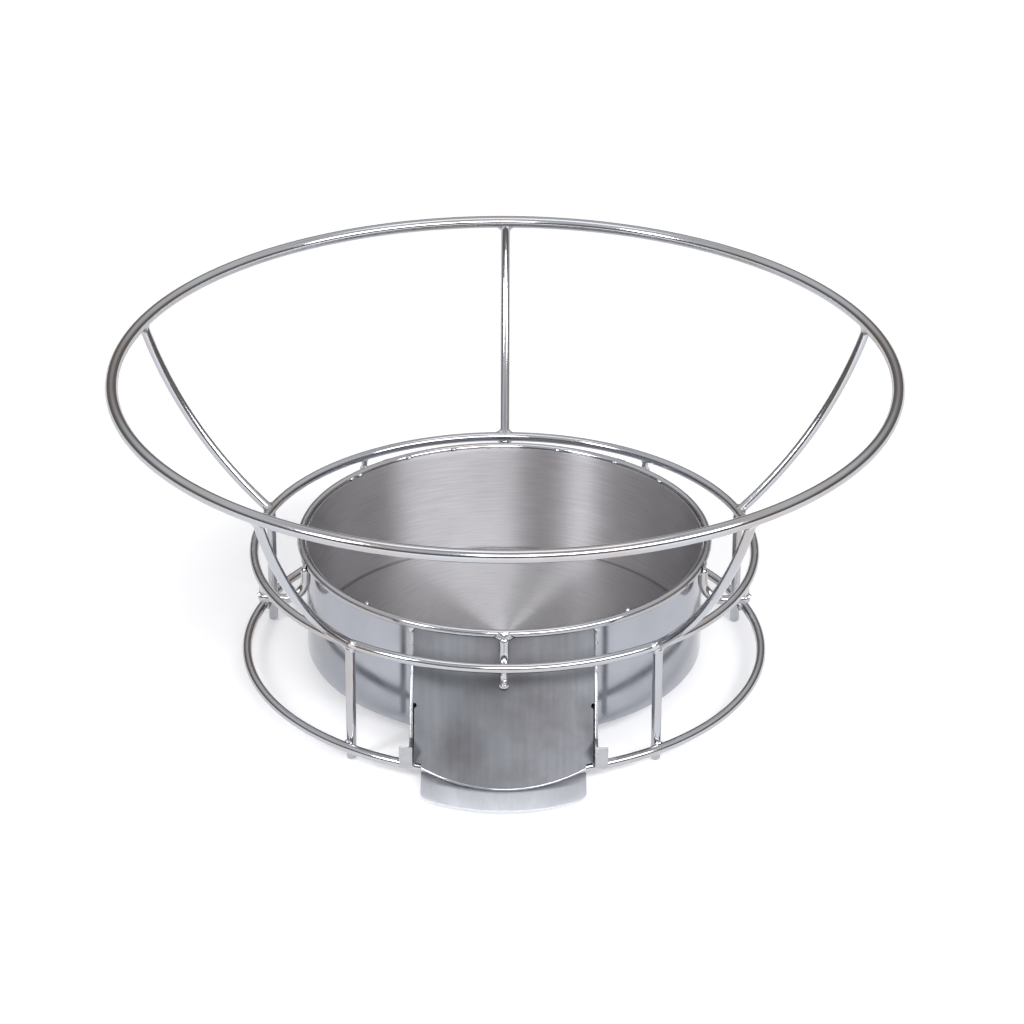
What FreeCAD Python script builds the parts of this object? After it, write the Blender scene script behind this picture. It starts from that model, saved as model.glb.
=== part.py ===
"""Wire bowl stand with a hung pan, a spout hood and a sliding outlet plate.

Millimetres, +Z up.  The origin is on the axis of the rings, in the plane of
the leg ends.  The spout points along -Y.
"""
import FreeCAD, Part
import math
import os
import re

import Sketcher

Vector = FreeCAD.Vector
Rotation = FreeCAD.Rotation
Placement = FreeCAD.Placement

# ---------------------------------------------------------------- sizes
SIZES = {
    # wires and joints between them
    "top_wire": (8, "diameter of the top ring's wire"),
    "frame_wire": (6, "diameter of the struts, legs, hooks and lower rings"),
    "rim_wire": (5, "diameter of the ring round the pan's rim"),
    "weld_gap": (0.1, "gap left where a coped wire end is welded"),
    "wire_end_round": (2, "rounding of a free wire end"),
    # rings
    "top_radius": (240, "top ring, axis to wire centre"),
    "top_height": (198, "top ring, height of the wire centre"),
    "middle_height": (79.3, "middle ring, height of the wire centre"),
    "base_height": (10.8, "base ring, height of the wire centre"),
    "rim_height": (86.5, "rim ring, height of the wire centre"),
    # hooks
    "hook_stand_off": (1.5, "gap between the pan and a hook"),
    "hook_bend": (12, "centreline radius of a hook's bend"),
    "hook_low": (65, "height of the lowest point of a hook's centreline"),
    "hook_span": (29.5, "from the rim ring's wire centre out to the middle ring's"),
    "hook_rise": (14, "slope of a hook's outer run, degrees"),
    "hook_overhang": (5, "reach of a hook's tip past the middle ring's centre"),
    "nugget_width": (4, "diameter of the weld nugget on a hook"),
    # pan
    "pan_radius": (124.3, "outer radius of the pan"),
    "pan_wall": (1, "sheet of the pan"),
    "pan_corner": (5, "outer corner radius of the pan"),
    "pan_bottom": (13, "height of the pan's underside"),
    "pan_lip": (0.5, "rise of the pan's edge over the rim ring's centre"),
    "pan_fit": (0.2, "clearance between the pan and what goes round it"),
    "window_inset": (8.5, "from a side plate in to the side of the pan's outlet window"),
    "window_sill": (19, "height of the window's lower edge"),
    "window_head": (60, "height of the window's upper edge"),
    # hood
    "hood_half": (54.5, "half width inside the side plates"),
    "hood_sheet": (1.2, "sheet of the hood's front"),
    "hood_top": (83.8, "height of the hood's upper edge"),
    "hood_bend": (64, "height where the front starts to lean out"),
    "hood_low": (7.4, "height of the hood's lower edge on its centre line"),
    "hood_stand_off": (11.4, "from the base ring out to the lower edge on its centre line"),
    "hood_bow": (102, "bow radius of the lower edge, seen from above"),
    "hood_side_gap": (0.2, "gap between the front and a side plate"),
    "apron_inset": (5.5, "from a side plate in to the side of the front below the base ring"),
    "apron_arc": (255, "radius of the lower edge, seen from the front"),
    "ring_clearance": (0.6, "clearance of sheet parts over the base ring"),
    "relief_hole": (2.4, "diameter of the relief holes"),
    "relief_height": (41, "height of the relief holes"),
    "slit_width": (1, "slit below the relief holes"),
    "side_sheet": (2, "side plate"),
    "side_proud": (0.8, "side plate's edge in front of the hood's front"),
    "ear_width": (6, "ear, sideways"),
    "ear_low": (12, "height of an ear's lower edge"),
    "ear_high": (26, "height of an ear's upper edge"),
    "ear_sheet": (1.2, "ear"),
    # slide and its runners
    "slide_sheet": (1.2, "slide plate"),
    "slide_low": (4.8, "height of the slide plate's underside"),
    "slide_inset": (5, "from a side plate in to the side of the tongue"),
    "tongue_reach": (20, "from the hood's lower edge out to the tongue's front edge"),
    "slide_bow": (90, "bow radius of the tongue's front edge"),
    "slide_corner": (12, "corner radius of the tongue"),
    "slide_rear": (70, "axis to the slide plate's rear edge"),
    "slide_travel": (40, "travel of the slide plate"),
    "slide_play": (0.3, "play of the slide plate in its runners"),
    "shoulder": (5.2, "width of the slide plate's shoulders"),
    "gate_inset": (15.5, "from a side plate in to the side of the slide plate's window"),
    "gate_rear": (84, "axis to the window's rear edge"),
    "gate_length": (34, "length of the window"),
    "runner_sheet": (1.2, "sheet of the runners"),
    "runner_setback": (17.6, "from the base ring back to the runners' front ends"),
    "runner_stop": (3, "length of a runner's end stop"),
    "flange_inset": (8.5, "from a side plate in to the edge of a runner's flanges"),
}

STRUT_PLACES = {"right": 18, "back": 90, "left": 162, "front_left": 234, "front_right": 306}
HOOK_PLACES = {"front": 270, "right": 342, "back_right": 54, "back_left": 126, "left": 198}

document = FreeCAD.newDocument("bowl_stand")
sheet = document.addObject("Spreadsheet::Sheet", "Sizes")
for row, (alias, (value, meaning)) in enumerate(SIZES.items(), start=1):
    sheet.set(f"A{row}", meaning)
    sheet.set(f"B{row}", str(value))
    sheet.setAlias(f"B{row}", alias)
document.recompute()


# ---------------------------------------------------------------- helpers
def formula(text):
    """The text with each size's name written as a cell of the sheet."""
    def cell(match):
        word = match.group()
        return f"Sizes.{word}" if word in SIZES else word
    return re.sub(r"[a-z][a-z_]+", cell, text)


def number(text):
    """The present value of a formula."""
    value = sheet.evalExpression(formula(text))
    return float(getattr(value, "Value", value))


def bind(item, name, text):
    """Tie a property or constraint to a formula on the sheet."""
    item.setExpression(name, formula(text))


def finish(item, label):
    """Mark an object as a sub-part under the name of its node."""
    item.Label = label
    sub_parts.append(item)
    return item


def turned(degrees):
    return Placement(Vector(), Rotation(Vector(0, 0, 1), degrees))


sub_parts = []

# ---------------------------------------------------------------- derived sizes
RIM_RADIUS = "(pan_radius + pan_fit + rim_wire / 2)"
MIDDLE_RADIUS = f"({RIM_RADIUS} + hook_span)"
BASE_RADIUS = f"({MIDDLE_RADIUS} + frame_wire + weld_gap)"
HOOK_RADIUS = "(pan_radius + hook_stand_off + frame_wire / 2)"
HOOK_TOP = "(rim_height - rim_wire / 4)"
PAN_TOP = "(rim_height + pan_lip)"
# height of a hook's centreline under the middle ring
HOOK_SLOPE = "(hook_rise * 1deg)"
HOOK_BEND_END = f"({HOOK_RADIUS} + hook_bend * (1 + sin{HOOK_SLOPE}))"
HOOK_UNDER_RING = (f"(hook_low + hook_bend * (1 - cos{HOOK_SLOPE})"
                   f" + ({MIDDLE_RADIUS} - {HOOK_BEND_END}) * tan{HOOK_SLOPE})")
# the struts lie on the sphere through the top and the middle ring
BOWL_CENTRE = (f"((top_radius^2 - {MIDDLE_RADIUS}^2 + top_height^2 - middle_height^2)"
               " / (2 * (top_height - middle_height)))")
BOWL_RADIUS = f"sqrt(top_radius^2 + (top_height - {BOWL_CENTRE})^2)"
HOOD_RADIUS = "(pan_radius + pan_fit + hood_sheet)"
HOOD_REACH = f"({BASE_RADIUS} + frame_wire / 2 + hood_stand_off)"
APRON_HALF = "(hood_half - apron_inset)"
WINDOW_HALF = "(hood_half - window_inset)"
SLIDE_HALF = "(hood_half - slide_inset)"
SLIDE_REACH = f"({HOOD_REACH} + tongue_reach)"
SHOULDER_HALF = f"({SLIDE_HALF} + shoulder)"
GATE_HALF = "(hood_half - gate_inset)"
SLIDE_TOP = "(slide_low + slide_sheet)"
RUNNER_SLOT_LOW = "(slide_low - slide_play)"
RUNNER_SLOT_HIGH = f"({SLIDE_TOP} + slide_play)"
RUNNER_TOP = f"({RUNNER_SLOT_HIGH} + runner_sheet)"
RUNNER_WEB = f"({SHOULDER_HALF} + slide_play)"
RUNNER_FLANGE = "(hood_half - flange_inset)"
RUNNER_FRONT = f"({BASE_RADIUS} - frame_wire / 2 - runner_setback)"
SHOULDER_FRONT = f"({RUNNER_FRONT} - runner_stop - slide_travel - slide_play)"
# how far a cutting outline reaches past the sheet it trims
OVERCUT = 1
# lengths that differ by less than this are the same
ROUNDING = 1e-4


# ---------------------------------------------------------------- sketch helpers
def origin_plane(body, role):
    for feature in body.Origin.OriginFeatures:
        if feature.Role == role:
            return feature
    raise RuntimeError(f"{body.Name} has no {role}")


def new_sketch(body, name, role, offset=None):
    """A sketch on one of the body's own planes, moved along its normal."""
    sketch = body.newObject("Sketcher::SketchObject", name)
    sketch.AttachmentSupport = [(origin_plane(body, role), "")]
    sketch.MapMode = "FlatFace"
    if offset:
        bind(sketch, "AttachmentOffset.Base.z", offset)
    return sketch


def constrain(sketch, kind, *arguments, size=None):
    """Add a constraint, and tie it to a formula where it has a size."""
    if size is None:
        return sketch.addConstraint(Sketcher.Constraint(kind, *arguments))
    index = sketch.addConstraint(Sketcher.Constraint(kind, *arguments, number(size)))
    bind(sketch, f"Constraints[{index}]", size)
    return index


def pin(sketch, geometry, end, across, up):
    """Fix a point of the sketch at a place given by two formulas."""
    for kind, axis, text in (("DistanceX", -2, across), ("DistanceY", -1, up)):
        value = number(text)
        if abs(value) < ROUNDING:
            constrain(sketch, "PointOnObject", geometry, end, axis)
        elif value > 0:
            constrain(sketch, kind, -1, 1, geometry, end, size=text)
        else:
            constrain(sketch, kind, geometry, end, -1, 1, size=f"-({text})")


def outline(sketch, corners, bows=None):
    """A closed outline; side i runs from corner i to the next, or bows out by a radius."""
    bows = bows or {}
    points = [Vector(number(across), number(up), 0) for across, up in corners]
    count = len(points)
    for index, start in enumerate(points):
        end = points[(index + 1) % count]
        if index in bows:
            sketch.addGeometry(bowed_side(start, end, number(bows[index])), False)
        else:
            sketch.addGeometry(Part.LineSegment(start, end), False)
    for index in range(count):
        constrain(sketch, "Coincident", index, 2, (index + 1) % count, 1)
    for index, (across, up) in enumerate(corners):
        pin(sketch, index, 1, across, up)
    for index, radius in bows.items():
        constrain(sketch, "Radius", index, size=radius)


def bowed_side(start, end, radius):
    """Arc from start to end, bulging to the right of that direction."""
    chord = end - start
    middle = (start + end) * 0.5
    right = Vector(chord.y, -chord.x, 0).normalize()
    rise = radius - math.sqrt(radius ** 2 - chord.Length ** 2 / 4)
    crest = middle + right * rise
    return Part.ArcOfCircle(start, crest, end)


def round_outline(sketch, radius, across="0", up="0"):
    centre = Vector(number(across), number(up), 0)
    sketch.addGeometry(Part.Circle(centre, Vector(0, 0, 1), number(radius)), False)
    pin(sketch, 0, 3, across, up)
    constrain(sketch, "Radius", 0, size=radius)


def pad(body, sketch, length, name):
    feature = body.newObject("PartDesign::Pad", name)
    feature.Profile = sketch
    bind(feature, "Length", length)
    return feature


def pocket(body, sketch, name, length, reverse=False):
    """Cut a pocket and make sure that it takes material away."""
    document.recompute()
    before = body.Shape.Volume
    feature = body.newObject("PartDesign::Pocket", name)
    feature.Profile = sketch
    feature.Reversed = reverse
    bind(feature, "Length", length)
    document.recompute()
    if body.Shape.Volume > before - ROUNDING:
        raise RuntimeError(f"{name} in {body.Label} cuts nothing")
    return feature


def edges_where(shape, test):
    """Names of the edges whose middle and ends pass a test."""
    return [f"Edge{index}" for index, edge in enumerate(shape.Edges, start=1) if test(edge)]


def round_edges(body, name, radius, test):
    """Fillet the edges of the body's present tip that pass a test."""
    document.recompute()
    base = body.Tip
    names = edges_where(base.Shape, test)
    if not names:
        raise RuntimeError(f"{name} in {body.Label} finds no edge")
    feature = body.newObject("PartDesign::Fillet", name)
    feature.Base = (base, names)
    bind(feature, "Radius", radius)
    return feature


def at_height(height):
    """Test for an edge that lies level at a height."""
    level = number(height)
    return lambda edge: abs(edge.BoundBox.ZMin - level) < ROUNDING and edge.BoundBox.ZLength < ROUNDING


# ---------------------------------------------------------------- primitives
def torus(name, radius, wire, height, grown="0"):
    """A level ring of round wire, or with grown a seat that a weld gap clears."""
    ring = document.addObject("Part::Torus", name)
    bind(ring, "Radius1", radius)
    bind(ring, "Radius2", f"{wire} / 2 + {grown}")
    bind(ring, "Placement.Base.z", height)
    return ring


def cut(name, base, tool):
    result = document.addObject("Part::Cut", name)
    result.Base = base
    result.Tool = tool
    return result


def fuse(name, items):
    result = document.addObject("Part::MultiFuse", name)
    result.Shapes = items
    return result


def spread(kind, base, tool, places):
    """One coped copy of a wire at each place round the axis, each a sub-part."""
    for place, degrees in places.items():
        piece = cut(f"{kind}_{place}_cut", base, tool)
        piece.Placement = turned(degrees)
        finish(piece, f"{kind}_{place}")


# ---------------------------------------------------------------- wire frame
def make_rings():
    finish(torus("TopRing", "top_radius", "top_wire", "top_height"), "top_ring")
    finish(torus("MiddleRing", MIDDLE_RADIUS, "frame_wire", "middle_height"), "middle_ring")
    finish(torus("BaseRing", BASE_RADIUS, "frame_wire", "base_height"), "base_ring")
    finish(torus("RimRing", RIM_RADIUS, "rim_wire", "rim_height"), "rim_ring")


def strut_wire(name, grown):
    """Wire on the bowl's sphere from the middle ring up to the top ring, at azimuth 0."""
    wire = document.addObject("Part::Torus", name)
    bind(wire, "Radius1", BOWL_RADIUS)
    bind(wire, "Radius2", f"frame_wire / 2 + {grown}")
    low = f"atan(({BOWL_CENTRE} - middle_height) / {MIDDLE_RADIUS})"
    high = f"atan(({BOWL_CENTRE} - top_height) / top_radius)"
    bind(wire, "Angle3", f"{low} - {high}")
    upright = Rotation(Vector(1, 0, 0), 90)
    start = Rotation(Vector(0, 0, 1), -number(low))
    wire.Placement = Placement(Vector(0, 0, number(BOWL_CENTRE)), upright.multiply(start))
    bind(wire, "Placement.Base.z", BOWL_CENTRE)
    return wire


def make_struts():
    seats = fuse("StrutSeats", [
        torus("TopSeat", "top_radius", "top_wire", "top_height", "weld_gap"),
        torus("MiddleSeat", MIDDLE_RADIUS, "frame_wire", "middle_height", "weld_gap"),
    ])
    spread("strut", strut_wire("StrutWire", "0"), seats, STRUT_PLACES)


def make_legs():
    """Straight wires under the middle ring, whose rounded ends are the feet."""
    body = document.addObject("PartDesign::Body", "LegWire")
    round_outline(new_sketch(body, "LegSection", "XY_Plane"), "frame_wire / 2", MIDDLE_RADIUS)
    pad(body, body.Group[-1], "middle_height", "LegLength")
    round_edges(body, "LegFoot", "wire_end_round", at_height("0"))
    seats = fuse("LegSeats", [
        torus("LegRingSeat", MIDDLE_RADIUS, "frame_wire", "middle_height", "weld_gap"),
        strut_wire("LegStrutSeat", "weld_gap"),
    ])
    spread("leg", body, seats, STRUT_PLACES)


def hook_wire():
    """Wire that goes down from the rim ring, bends outwards and rises under the middle ring."""
    body = document.addObject("PartDesign::Body", "HookWire")
    path = new_sketch(body, "HookPath", "XZ_Plane")
    radius = number("hook_bend")
    rise = math.radians(number("hook_rise"))
    start = Vector(number(HOOK_RADIUS), number(HOOK_TOP), 0)
    centre = Vector(start.x + radius, number("hook_low") + radius, 0)
    bend_start = Vector(start.x, centre.y, 0)
    bend_end = centre + Vector(math.sin(rise), -math.cos(rise), 0) * radius
    tip_across = number(f"{MIDDLE_RADIUS} + hook_overhang")
    tip = Vector(tip_across, bend_end.y + (tip_across - bend_end.x) * math.tan(rise), 0)
    bend = Part.ArcOfCircle(Part.Circle(centre, Vector(0, 0, 1), radius), math.pi, 1.5 * math.pi + rise)
    path.addGeometry(Part.LineSegment(start, bend_start), False)
    path.addGeometry(bend, False)
    path.addGeometry(Part.LineSegment(bend_end, tip), False)
    constrain(path, "Tangent", 0, 2, 1, 1)
    constrain(path, "Tangent", 1, 2, 2, 1)
    constrain(path, "Vertical", 0)
    pin(path, 0, 1, HOOK_RADIUS, HOOK_TOP)
    constrain(path, "DistanceY", -1, 1, 1, 3, size="hook_low + hook_bend")
    constrain(path, "Radius", 1, size="hook_bend")
    constrain(path, "DistanceX", -1, 1, 2, 2, size=f"{MIDDLE_RADIUS} + hook_overhang")
    across = constrain(path, "Angle", 2, rise)
    bind(path, f"Constraints[{across}]", HOOK_SLOPE)
    section = new_sketch(body, "HookSection", "XY_Plane", HOOK_TOP)
    round_outline(section, "frame_wire / 2", HOOK_RADIUS)
    document.recompute()
    pipe = body.newObject("PartDesign::AdditivePipe", "HookBend")
    pipe.Profile = section
    pipe.Spine = (path, ["Edge1", "Edge2", "Edge3"])
    document.recompute()
    outer = number(MIDDLE_RADIUS)
    round_edges(body, "HookTip", "wire_end_round",
                lambda edge: edge.BoundBox.XMin > outer and edge.Length > number("frame_wire"))
    return body


def make_hooks():
    wire = hook_wire()
    seat = torus("HookSeat", RIM_RADIUS, "rim_wire", "rim_height", "weld_gap")
    spread("hook", wire, seat, HOOK_PLACES)
    make_hook_welds(wire)


def make_hook_welds(wire):
    """The weld metal that stands between each hook and the middle ring."""
    post = document.addObject("Part::Cylinder", "NuggetPost")
    bind(post, "Radius", "nugget_width / 2")
    bind(post, "Height", f"middle_height - {HOOK_UNDER_RING}")
    bind(post, "Placement.Base.x", MIDDLE_RADIUS)
    bind(post, "Placement.Base.z", HOOK_UNDER_RING)
    seat = torus("NuggetSeat", MIDDLE_RADIUS, "frame_wire", "middle_height")
    nugget = cut("Nugget", cut("NuggetOnRing", post, seat), wire)
    nuggets = []
    for place, degrees in HOOK_PLACES.items():
        copy = document.addObject("Part::Compound", f"Nugget_{place}")
        copy.Links = [nugget]
        copy.Placement = turned(degrees)
        nuggets.append(copy)
    group = document.addObject("Part::Compound", "HookWelds")
    group.Links = nuggets
    finish(group, "hook_welds")


# ---------------------------------------------------------------- pan
def make_pan():
    """A drum with a flat floor, and a window in front of which the hood stands."""
    body = document.addObject("PartDesign::Body", "Pan")
    section = new_sketch(body, "PanSection", "XZ_Plane")
    outline(section, [
        ("0", "pan_bottom"),
        ("pan_radius", "pan_bottom"),
        ("pan_radius", PAN_TOP),
        ("pan_radius - pan_wall", PAN_TOP),
        ("pan_radius - pan_wall", "pan_bottom + pan_wall"),
        ("0", "pan_bottom + pan_wall"),
    ])
    drum = body.newObject("PartDesign::Revolution", "PanDrum")
    drum.Profile = section
    drum.ReferenceAxis = (section, ["V_Axis"])
    drum.Angle = 360
    round_edges(body, "PanInnerCorner", "pan_corner - pan_wall", at_height("pan_bottom + pan_wall"))
    round_edges(body, "PanOuterCorner", "pan_corner", at_height("pan_bottom"))
    window = new_sketch(body, "PanWindow", "XZ_Plane")
    outline(window, [
        (f"-{WINDOW_HALF}", "window_sill"),
        (WINDOW_HALF, "window_sill"),
        (WINDOW_HALF, "window_head"),
        (f"-{WINDOW_HALF}", "window_head"),
    ])
    pocket(body, window, "PanWindowCut", "2 * pan_radius", reverse=True)
    finish(body, "pan")


# ---------------------------------------------------------------- hood
def hood_section(body, name, height, radius, reach):
    """Band of sheet seen from above: two concentric arcs across the hood's width."""
    sketch = new_sketch(body, name, "XY_Plane", height)
    half = "(hood_half - hood_side_gap)"
    inner = f"({radius} - hood_sheet)"
    centre_up = f"({radius} - {reach})"
    centre = Vector(0, number(centre_up), 0)
    ends = []
    for size in (radius, inner):
        spread_angle = math.asin(number(half) / number(size))
        low, high = 1.5 * math.pi - spread_angle, 1.5 * math.pi + spread_angle
        arc = Part.ArcOfCircle(Part.Circle(centre, Vector(0, 0, 1), number(size)), low, high)
        sketch.addGeometry(arc, False)
        ends.append((arc.StartPoint, arc.EndPoint))
    sketch.addGeometry(Part.LineSegment(ends[0][1], ends[1][1]), False)
    sketch.addGeometry(Part.LineSegment(ends[1][0], ends[0][0]), False)
    constrain(sketch, "Coincident", 0, 2, 2, 1)
    constrain(sketch, "Coincident", 2, 2, 1, 2)
    constrain(sketch, "Coincident", 1, 1, 3, 1)
    constrain(sketch, "Coincident", 3, 2, 0, 1)
    constrain(sketch, "Coincident", 0, 3, 1, 3)
    pin(sketch, 0, 3, "0", centre_up)
    constrain(sketch, "Radius", 0, size=radius)
    constrain(sketch, "Radius", 1, size=inner)
    constrain(sketch, "Vertical", 2)
    constrain(sketch, "Vertical", 3)
    constrain(sketch, "DistanceX", -1, 1, 0, 2, size=half)
    constrain(sketch, "DistanceX", 0, 1, -1, 1, size=half)
    return sketch


def make_hood_front():
    """Upright against the pan at the top, then leaning out to a bowed lower edge."""
    body = document.addObject("PartDesign::Body", "HoodFront")
    top = hood_section(body, "HoodTop", "hood_top", HOOD_RADIUS, HOOD_RADIUS)
    bend = hood_section(body, "HoodBend", "hood_bend", HOOD_RADIUS, HOOD_RADIUS)
    low = hood_section(body, "HoodLow", "hood_low", "hood_bow", HOOD_REACH)
    document.recompute()
    loft = body.newObject("PartDesign::AdditiveLoft", "HoodSheet")
    loft.Profile = top
    loft.Sections = [bend, low]
    loft.Ruled = True
    trim_apron(body)
    trim_corners(body)
    trim_relief(body)
    finish(body, "hood_front")


def trim_apron(body):
    """Give the lower edge its arc, lowest on the centre line."""
    below = new_sketch(body, "ApronArc", "XZ_Plane")
    rise = "(apron_arc - sqrt(apron_arc^2 - hood_half^2))"
    outline(below, [
        ("-hood_half", f"hood_low + {rise}"),
        ("hood_half", f"hood_low + {rise}"),
        ("hood_half", f"hood_low - {OVERCUT}"),
        ("-hood_half", f"hood_low - {OVERCUT}"),
    ], bows={0: "apron_arc"})
    pocket(body, below, "ApronTrim", f"{HOOD_REACH} + hood_half", reverse=True)


def trim_corners(body):
    """Cut both lower corners back above the base ring, which passes under them."""
    top = "base_height + frame_wire / 2 + ring_clearance"
    lower_edge = f"hood_low + apron_arc - sqrt(apron_arc^2 - {APRON_HALF}^2)"
    if number(lower_edge) >= number(top):
        return
    for name, sign in (("Left", "-"), ("Right", "")):
        corner = new_sketch(body, f"Corner{name}", "XZ_Plane")
        outline(corner, [
            (f"{sign}{APRON_HALF}", "0"),
            (f"{sign}(hood_half + {OVERCUT})", "0"),
            (f"{sign}(hood_half + {OVERCUT})", top),
            (f"{sign}{APRON_HALF}", top),
        ])
        pocket(body, corner, f"Corner{name}Trim", f"{HOOD_REACH} + hood_half", reverse=True)


def trim_relief(body):
    """A relief hole and, below it, a slit along each side plate."""
    for name, sign in (("Left", "-"), ("Right", "")):
        slit = new_sketch(body, f"Slit{name}", "XZ_Plane")
        outline(slit, [
            (f"{sign}(hood_half - slit_width)", "0"),
            (f"{sign}(hood_half + {OVERCUT})", "0"),
            (f"{sign}(hood_half + {OVERCUT})", "relief_height"),
            (f"{sign}(hood_half - slit_width)", "relief_height"),
        ])
        pocket(body, slit, f"Slit{name}Cut", f"{HOOD_REACH} + hood_half", reverse=True)
        hole = new_sketch(body, f"Relief{name}", "XZ_Plane")
        round_outline(hole, "relief_hole / 2", f"{sign}(hood_half - slit_width)", "relief_height")
        pocket(body, hole, f"Relief{name}Cut", f"{HOOD_REACH} + hood_half", reverse=True)


def hood_edge(height):
    """Distance from the axis plane to the front's outer face at a side plate."""
    upper = f"sqrt({HOOD_RADIUS}^2 - hood_half^2)"
    lower = f"({HOOD_REACH} - hood_bow + sqrt(hood_bow^2 - hood_half^2))"
    return f"({upper} + ({lower} - {upper}) * (hood_bend - {height}) / (hood_bend - hood_low))"


def ring_outer():
    return f"(sqrt(({BASE_RADIUS} + frame_wire / 2)^2 - hood_half^2) + ring_clearance / 2)"


def ring_inner():
    return f"(sqrt(({BASE_RADIUS} - frame_wire / 2)^2 - (hood_half + side_sheet)^2) - ring_clearance)"


def make_hood_side(name, sign):
    """Side plate with a notch for the base ring and an ear folded out in front of it."""
    body = document.addObject("PartDesign::Body", f"HoodSide{name.capitalize()}")
    offset = "hood_half" if sign > 0 else "-(hood_half + side_sheet)"
    profile = new_sketch(body, "SideProfile", "YZ_Plane", offset)
    rear = "sqrt((pan_radius + pan_fit)^2 - hood_half^2)"
    notch = "base_height + frame_wire / 2 + ring_clearance / 2"
    foot = f"{RUNNER_TOP} + weld_gap"
    outline(profile, [
        (f"-{rear}", "hood_top"),
        (f"-({hood_edge('hood_bend')} + side_proud)", "hood_top"),
        (f"-({hood_edge('hood_bend')} + side_proud)", "hood_bend"),
        (f"-({hood_edge('ear_high')} + side_proud)", "ear_high"),
        (f"-({ring_outer()} + ear_sheet)", "ear_high"),
        (f"-({ring_outer()} + ear_sheet)", "ear_low"),
        (f"-{ring_outer()}", "ear_low"),
        (f"-{ring_outer()}", notch),
        (f"-{ring_inner()}", notch),
        (f"-{ring_inner()}", foot),
        (f"-{rear}", foot),
    ])
    pad(body, profile, "side_sheet", "SideSheet")
    ear = new_sketch(body, "EarOutline", "XZ_Plane", ring_outer())
    side = "" if sign > 0 else "-"
    outline(ear, [
        (f"{side}(hood_half + side_sheet / 2)", "ear_low"),
        (f"{side}(hood_half + side_sheet + ear_width)", "ear_low"),
        (f"{side}(hood_half + side_sheet + ear_width)", "ear_high"),
        (f"{side}(hood_half + side_sheet / 2)", "ear_high"),
    ])
    pad(body, ear, "ear_sheet", "Ear")
    finish(body, f"hood_side_{name}")


# ---------------------------------------------------------------- slide plate
def make_runner(name, sign):
    """Channel under a side plate, open towards the other runner, closed at both ends."""
    body = document.addObject("PartDesign::Body", f"Runner{name.capitalize()}")
    side = "" if sign > 0 else "-"
    rear = "(slide_rear - slide_play - runner_stop)"
    channel = new_sketch(body, "ChannelSection", "XZ_Plane", rear)
    outline(channel, [
        (f"{side}{RUNNER_FLANGE}", f"{RUNNER_SLOT_LOW} - runner_sheet"),
        (f"{side}({RUNNER_WEB} + runner_sheet)", f"{RUNNER_SLOT_LOW} - runner_sheet"),
        (f"{side}({RUNNER_WEB} + runner_sheet)", RUNNER_TOP),
        (f"{side}{RUNNER_FLANGE}", RUNNER_TOP),
        (f"{side}{RUNNER_FLANGE}", RUNNER_SLOT_HIGH),
        (f"{side}{RUNNER_WEB}", RUNNER_SLOT_HIGH),
        (f"{side}{RUNNER_WEB}", RUNNER_SLOT_LOW),
        (f"{side}{RUNNER_FLANGE}", RUNNER_SLOT_LOW),
    ])
    pad(body, channel, f"{RUNNER_FRONT} - {rear}", "Channel")
    stops = (
        ("Front", f"{RUNNER_FRONT} - runner_stop", f"{SLIDE_HALF} + slide_play"),
        ("Rear", rear, RUNNER_FLANGE),
    )
    for stop, start, inner in stops:
        block = new_sketch(body, f"{stop}StopOutline", "XZ_Plane", start)
        outline(block, [
            (f"{side}({inner})", f"{RUNNER_SLOT_LOW} - runner_sheet / 2"),
            (f"{side}({RUNNER_WEB} + runner_sheet / 2)", f"{RUNNER_SLOT_LOW} - runner_sheet / 2"),
            (f"{side}({RUNNER_WEB} + runner_sheet / 2)", f"{RUNNER_SLOT_HIGH} + runner_sheet / 2"),
            (f"{side}({inner})", f"{RUNNER_SLOT_HIGH} + runner_sheet / 2"),
        ])
        pad(body, block, "runner_stop", f"{stop}Stop")
    finish(body, f"runner_{name}")


def make_slide():
    """Plate whose tongue stands out under the hood; pulled out, its window opens the outlet."""
    body = document.addObject("PartDesign::Body", "SlidePlate")
    plate = new_sketch(body, "SlideOutline", "XY_Plane", "slide_low")
    front_corner = f"-({SLIDE_REACH} - slide_bow + sqrt(slide_bow^2 - {SLIDE_HALF}^2))"
    outline(plate, [
        (f"-{SLIDE_HALF}", front_corner),
        (SLIDE_HALF, front_corner),
        (SLIDE_HALF, f"-{SHOULDER_FRONT}"),
        (SHOULDER_HALF, f"-{SHOULDER_FRONT}"),
        (SHOULDER_HALF, "-slide_rear"),
        (f"-{SHOULDER_HALF}", "-slide_rear"),
        (f"-{SHOULDER_HALF}", f"-{SHOULDER_FRONT}"),
        (f"-{SLIDE_HALF}", f"-{SHOULDER_FRONT}"),
    ], bows={0: "slide_bow"})
    pad(body, plate, "slide_sheet", "SlideSheet")
    window = new_sketch(body, "SlideWindow", "XY_Plane", SLIDE_TOP)
    outline(window, [
        (f"-{GATE_HALF}", "-(gate_rear + gate_length)"),
        (GATE_HALF, "-(gate_rear + gate_length)"),
        (GATE_HALF, "-gate_rear"),
        (f"-{GATE_HALF}", "-gate_rear"),
    ])
    pocket(body, window, "SlideWindowCut", "2 * slide_sheet")
    corner = number(front_corner)
    round_edges(body, "TongueCorners", "slide_corner",
                lambda edge: edge.BoundBox.YMax < corner + ROUNDING and edge.BoundBox.XLength < ROUNDING)
    finish(body, "slide_plate")


# ---------------------------------------------------------------- build and write
def check(items):
    """Stop at a failed object or an unsound shape."""
    for item in document.Objects:
        bad = {"Invalid", "Error"} & set(item.State)
        if bad:
            raise RuntimeError(f"{item.Label} is {bad}")
    for item in items:
        if item.Shape.isNull() or not item.Shape.isValid():
            raise RuntimeError(f"{item.Label} has no sound shape")


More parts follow.
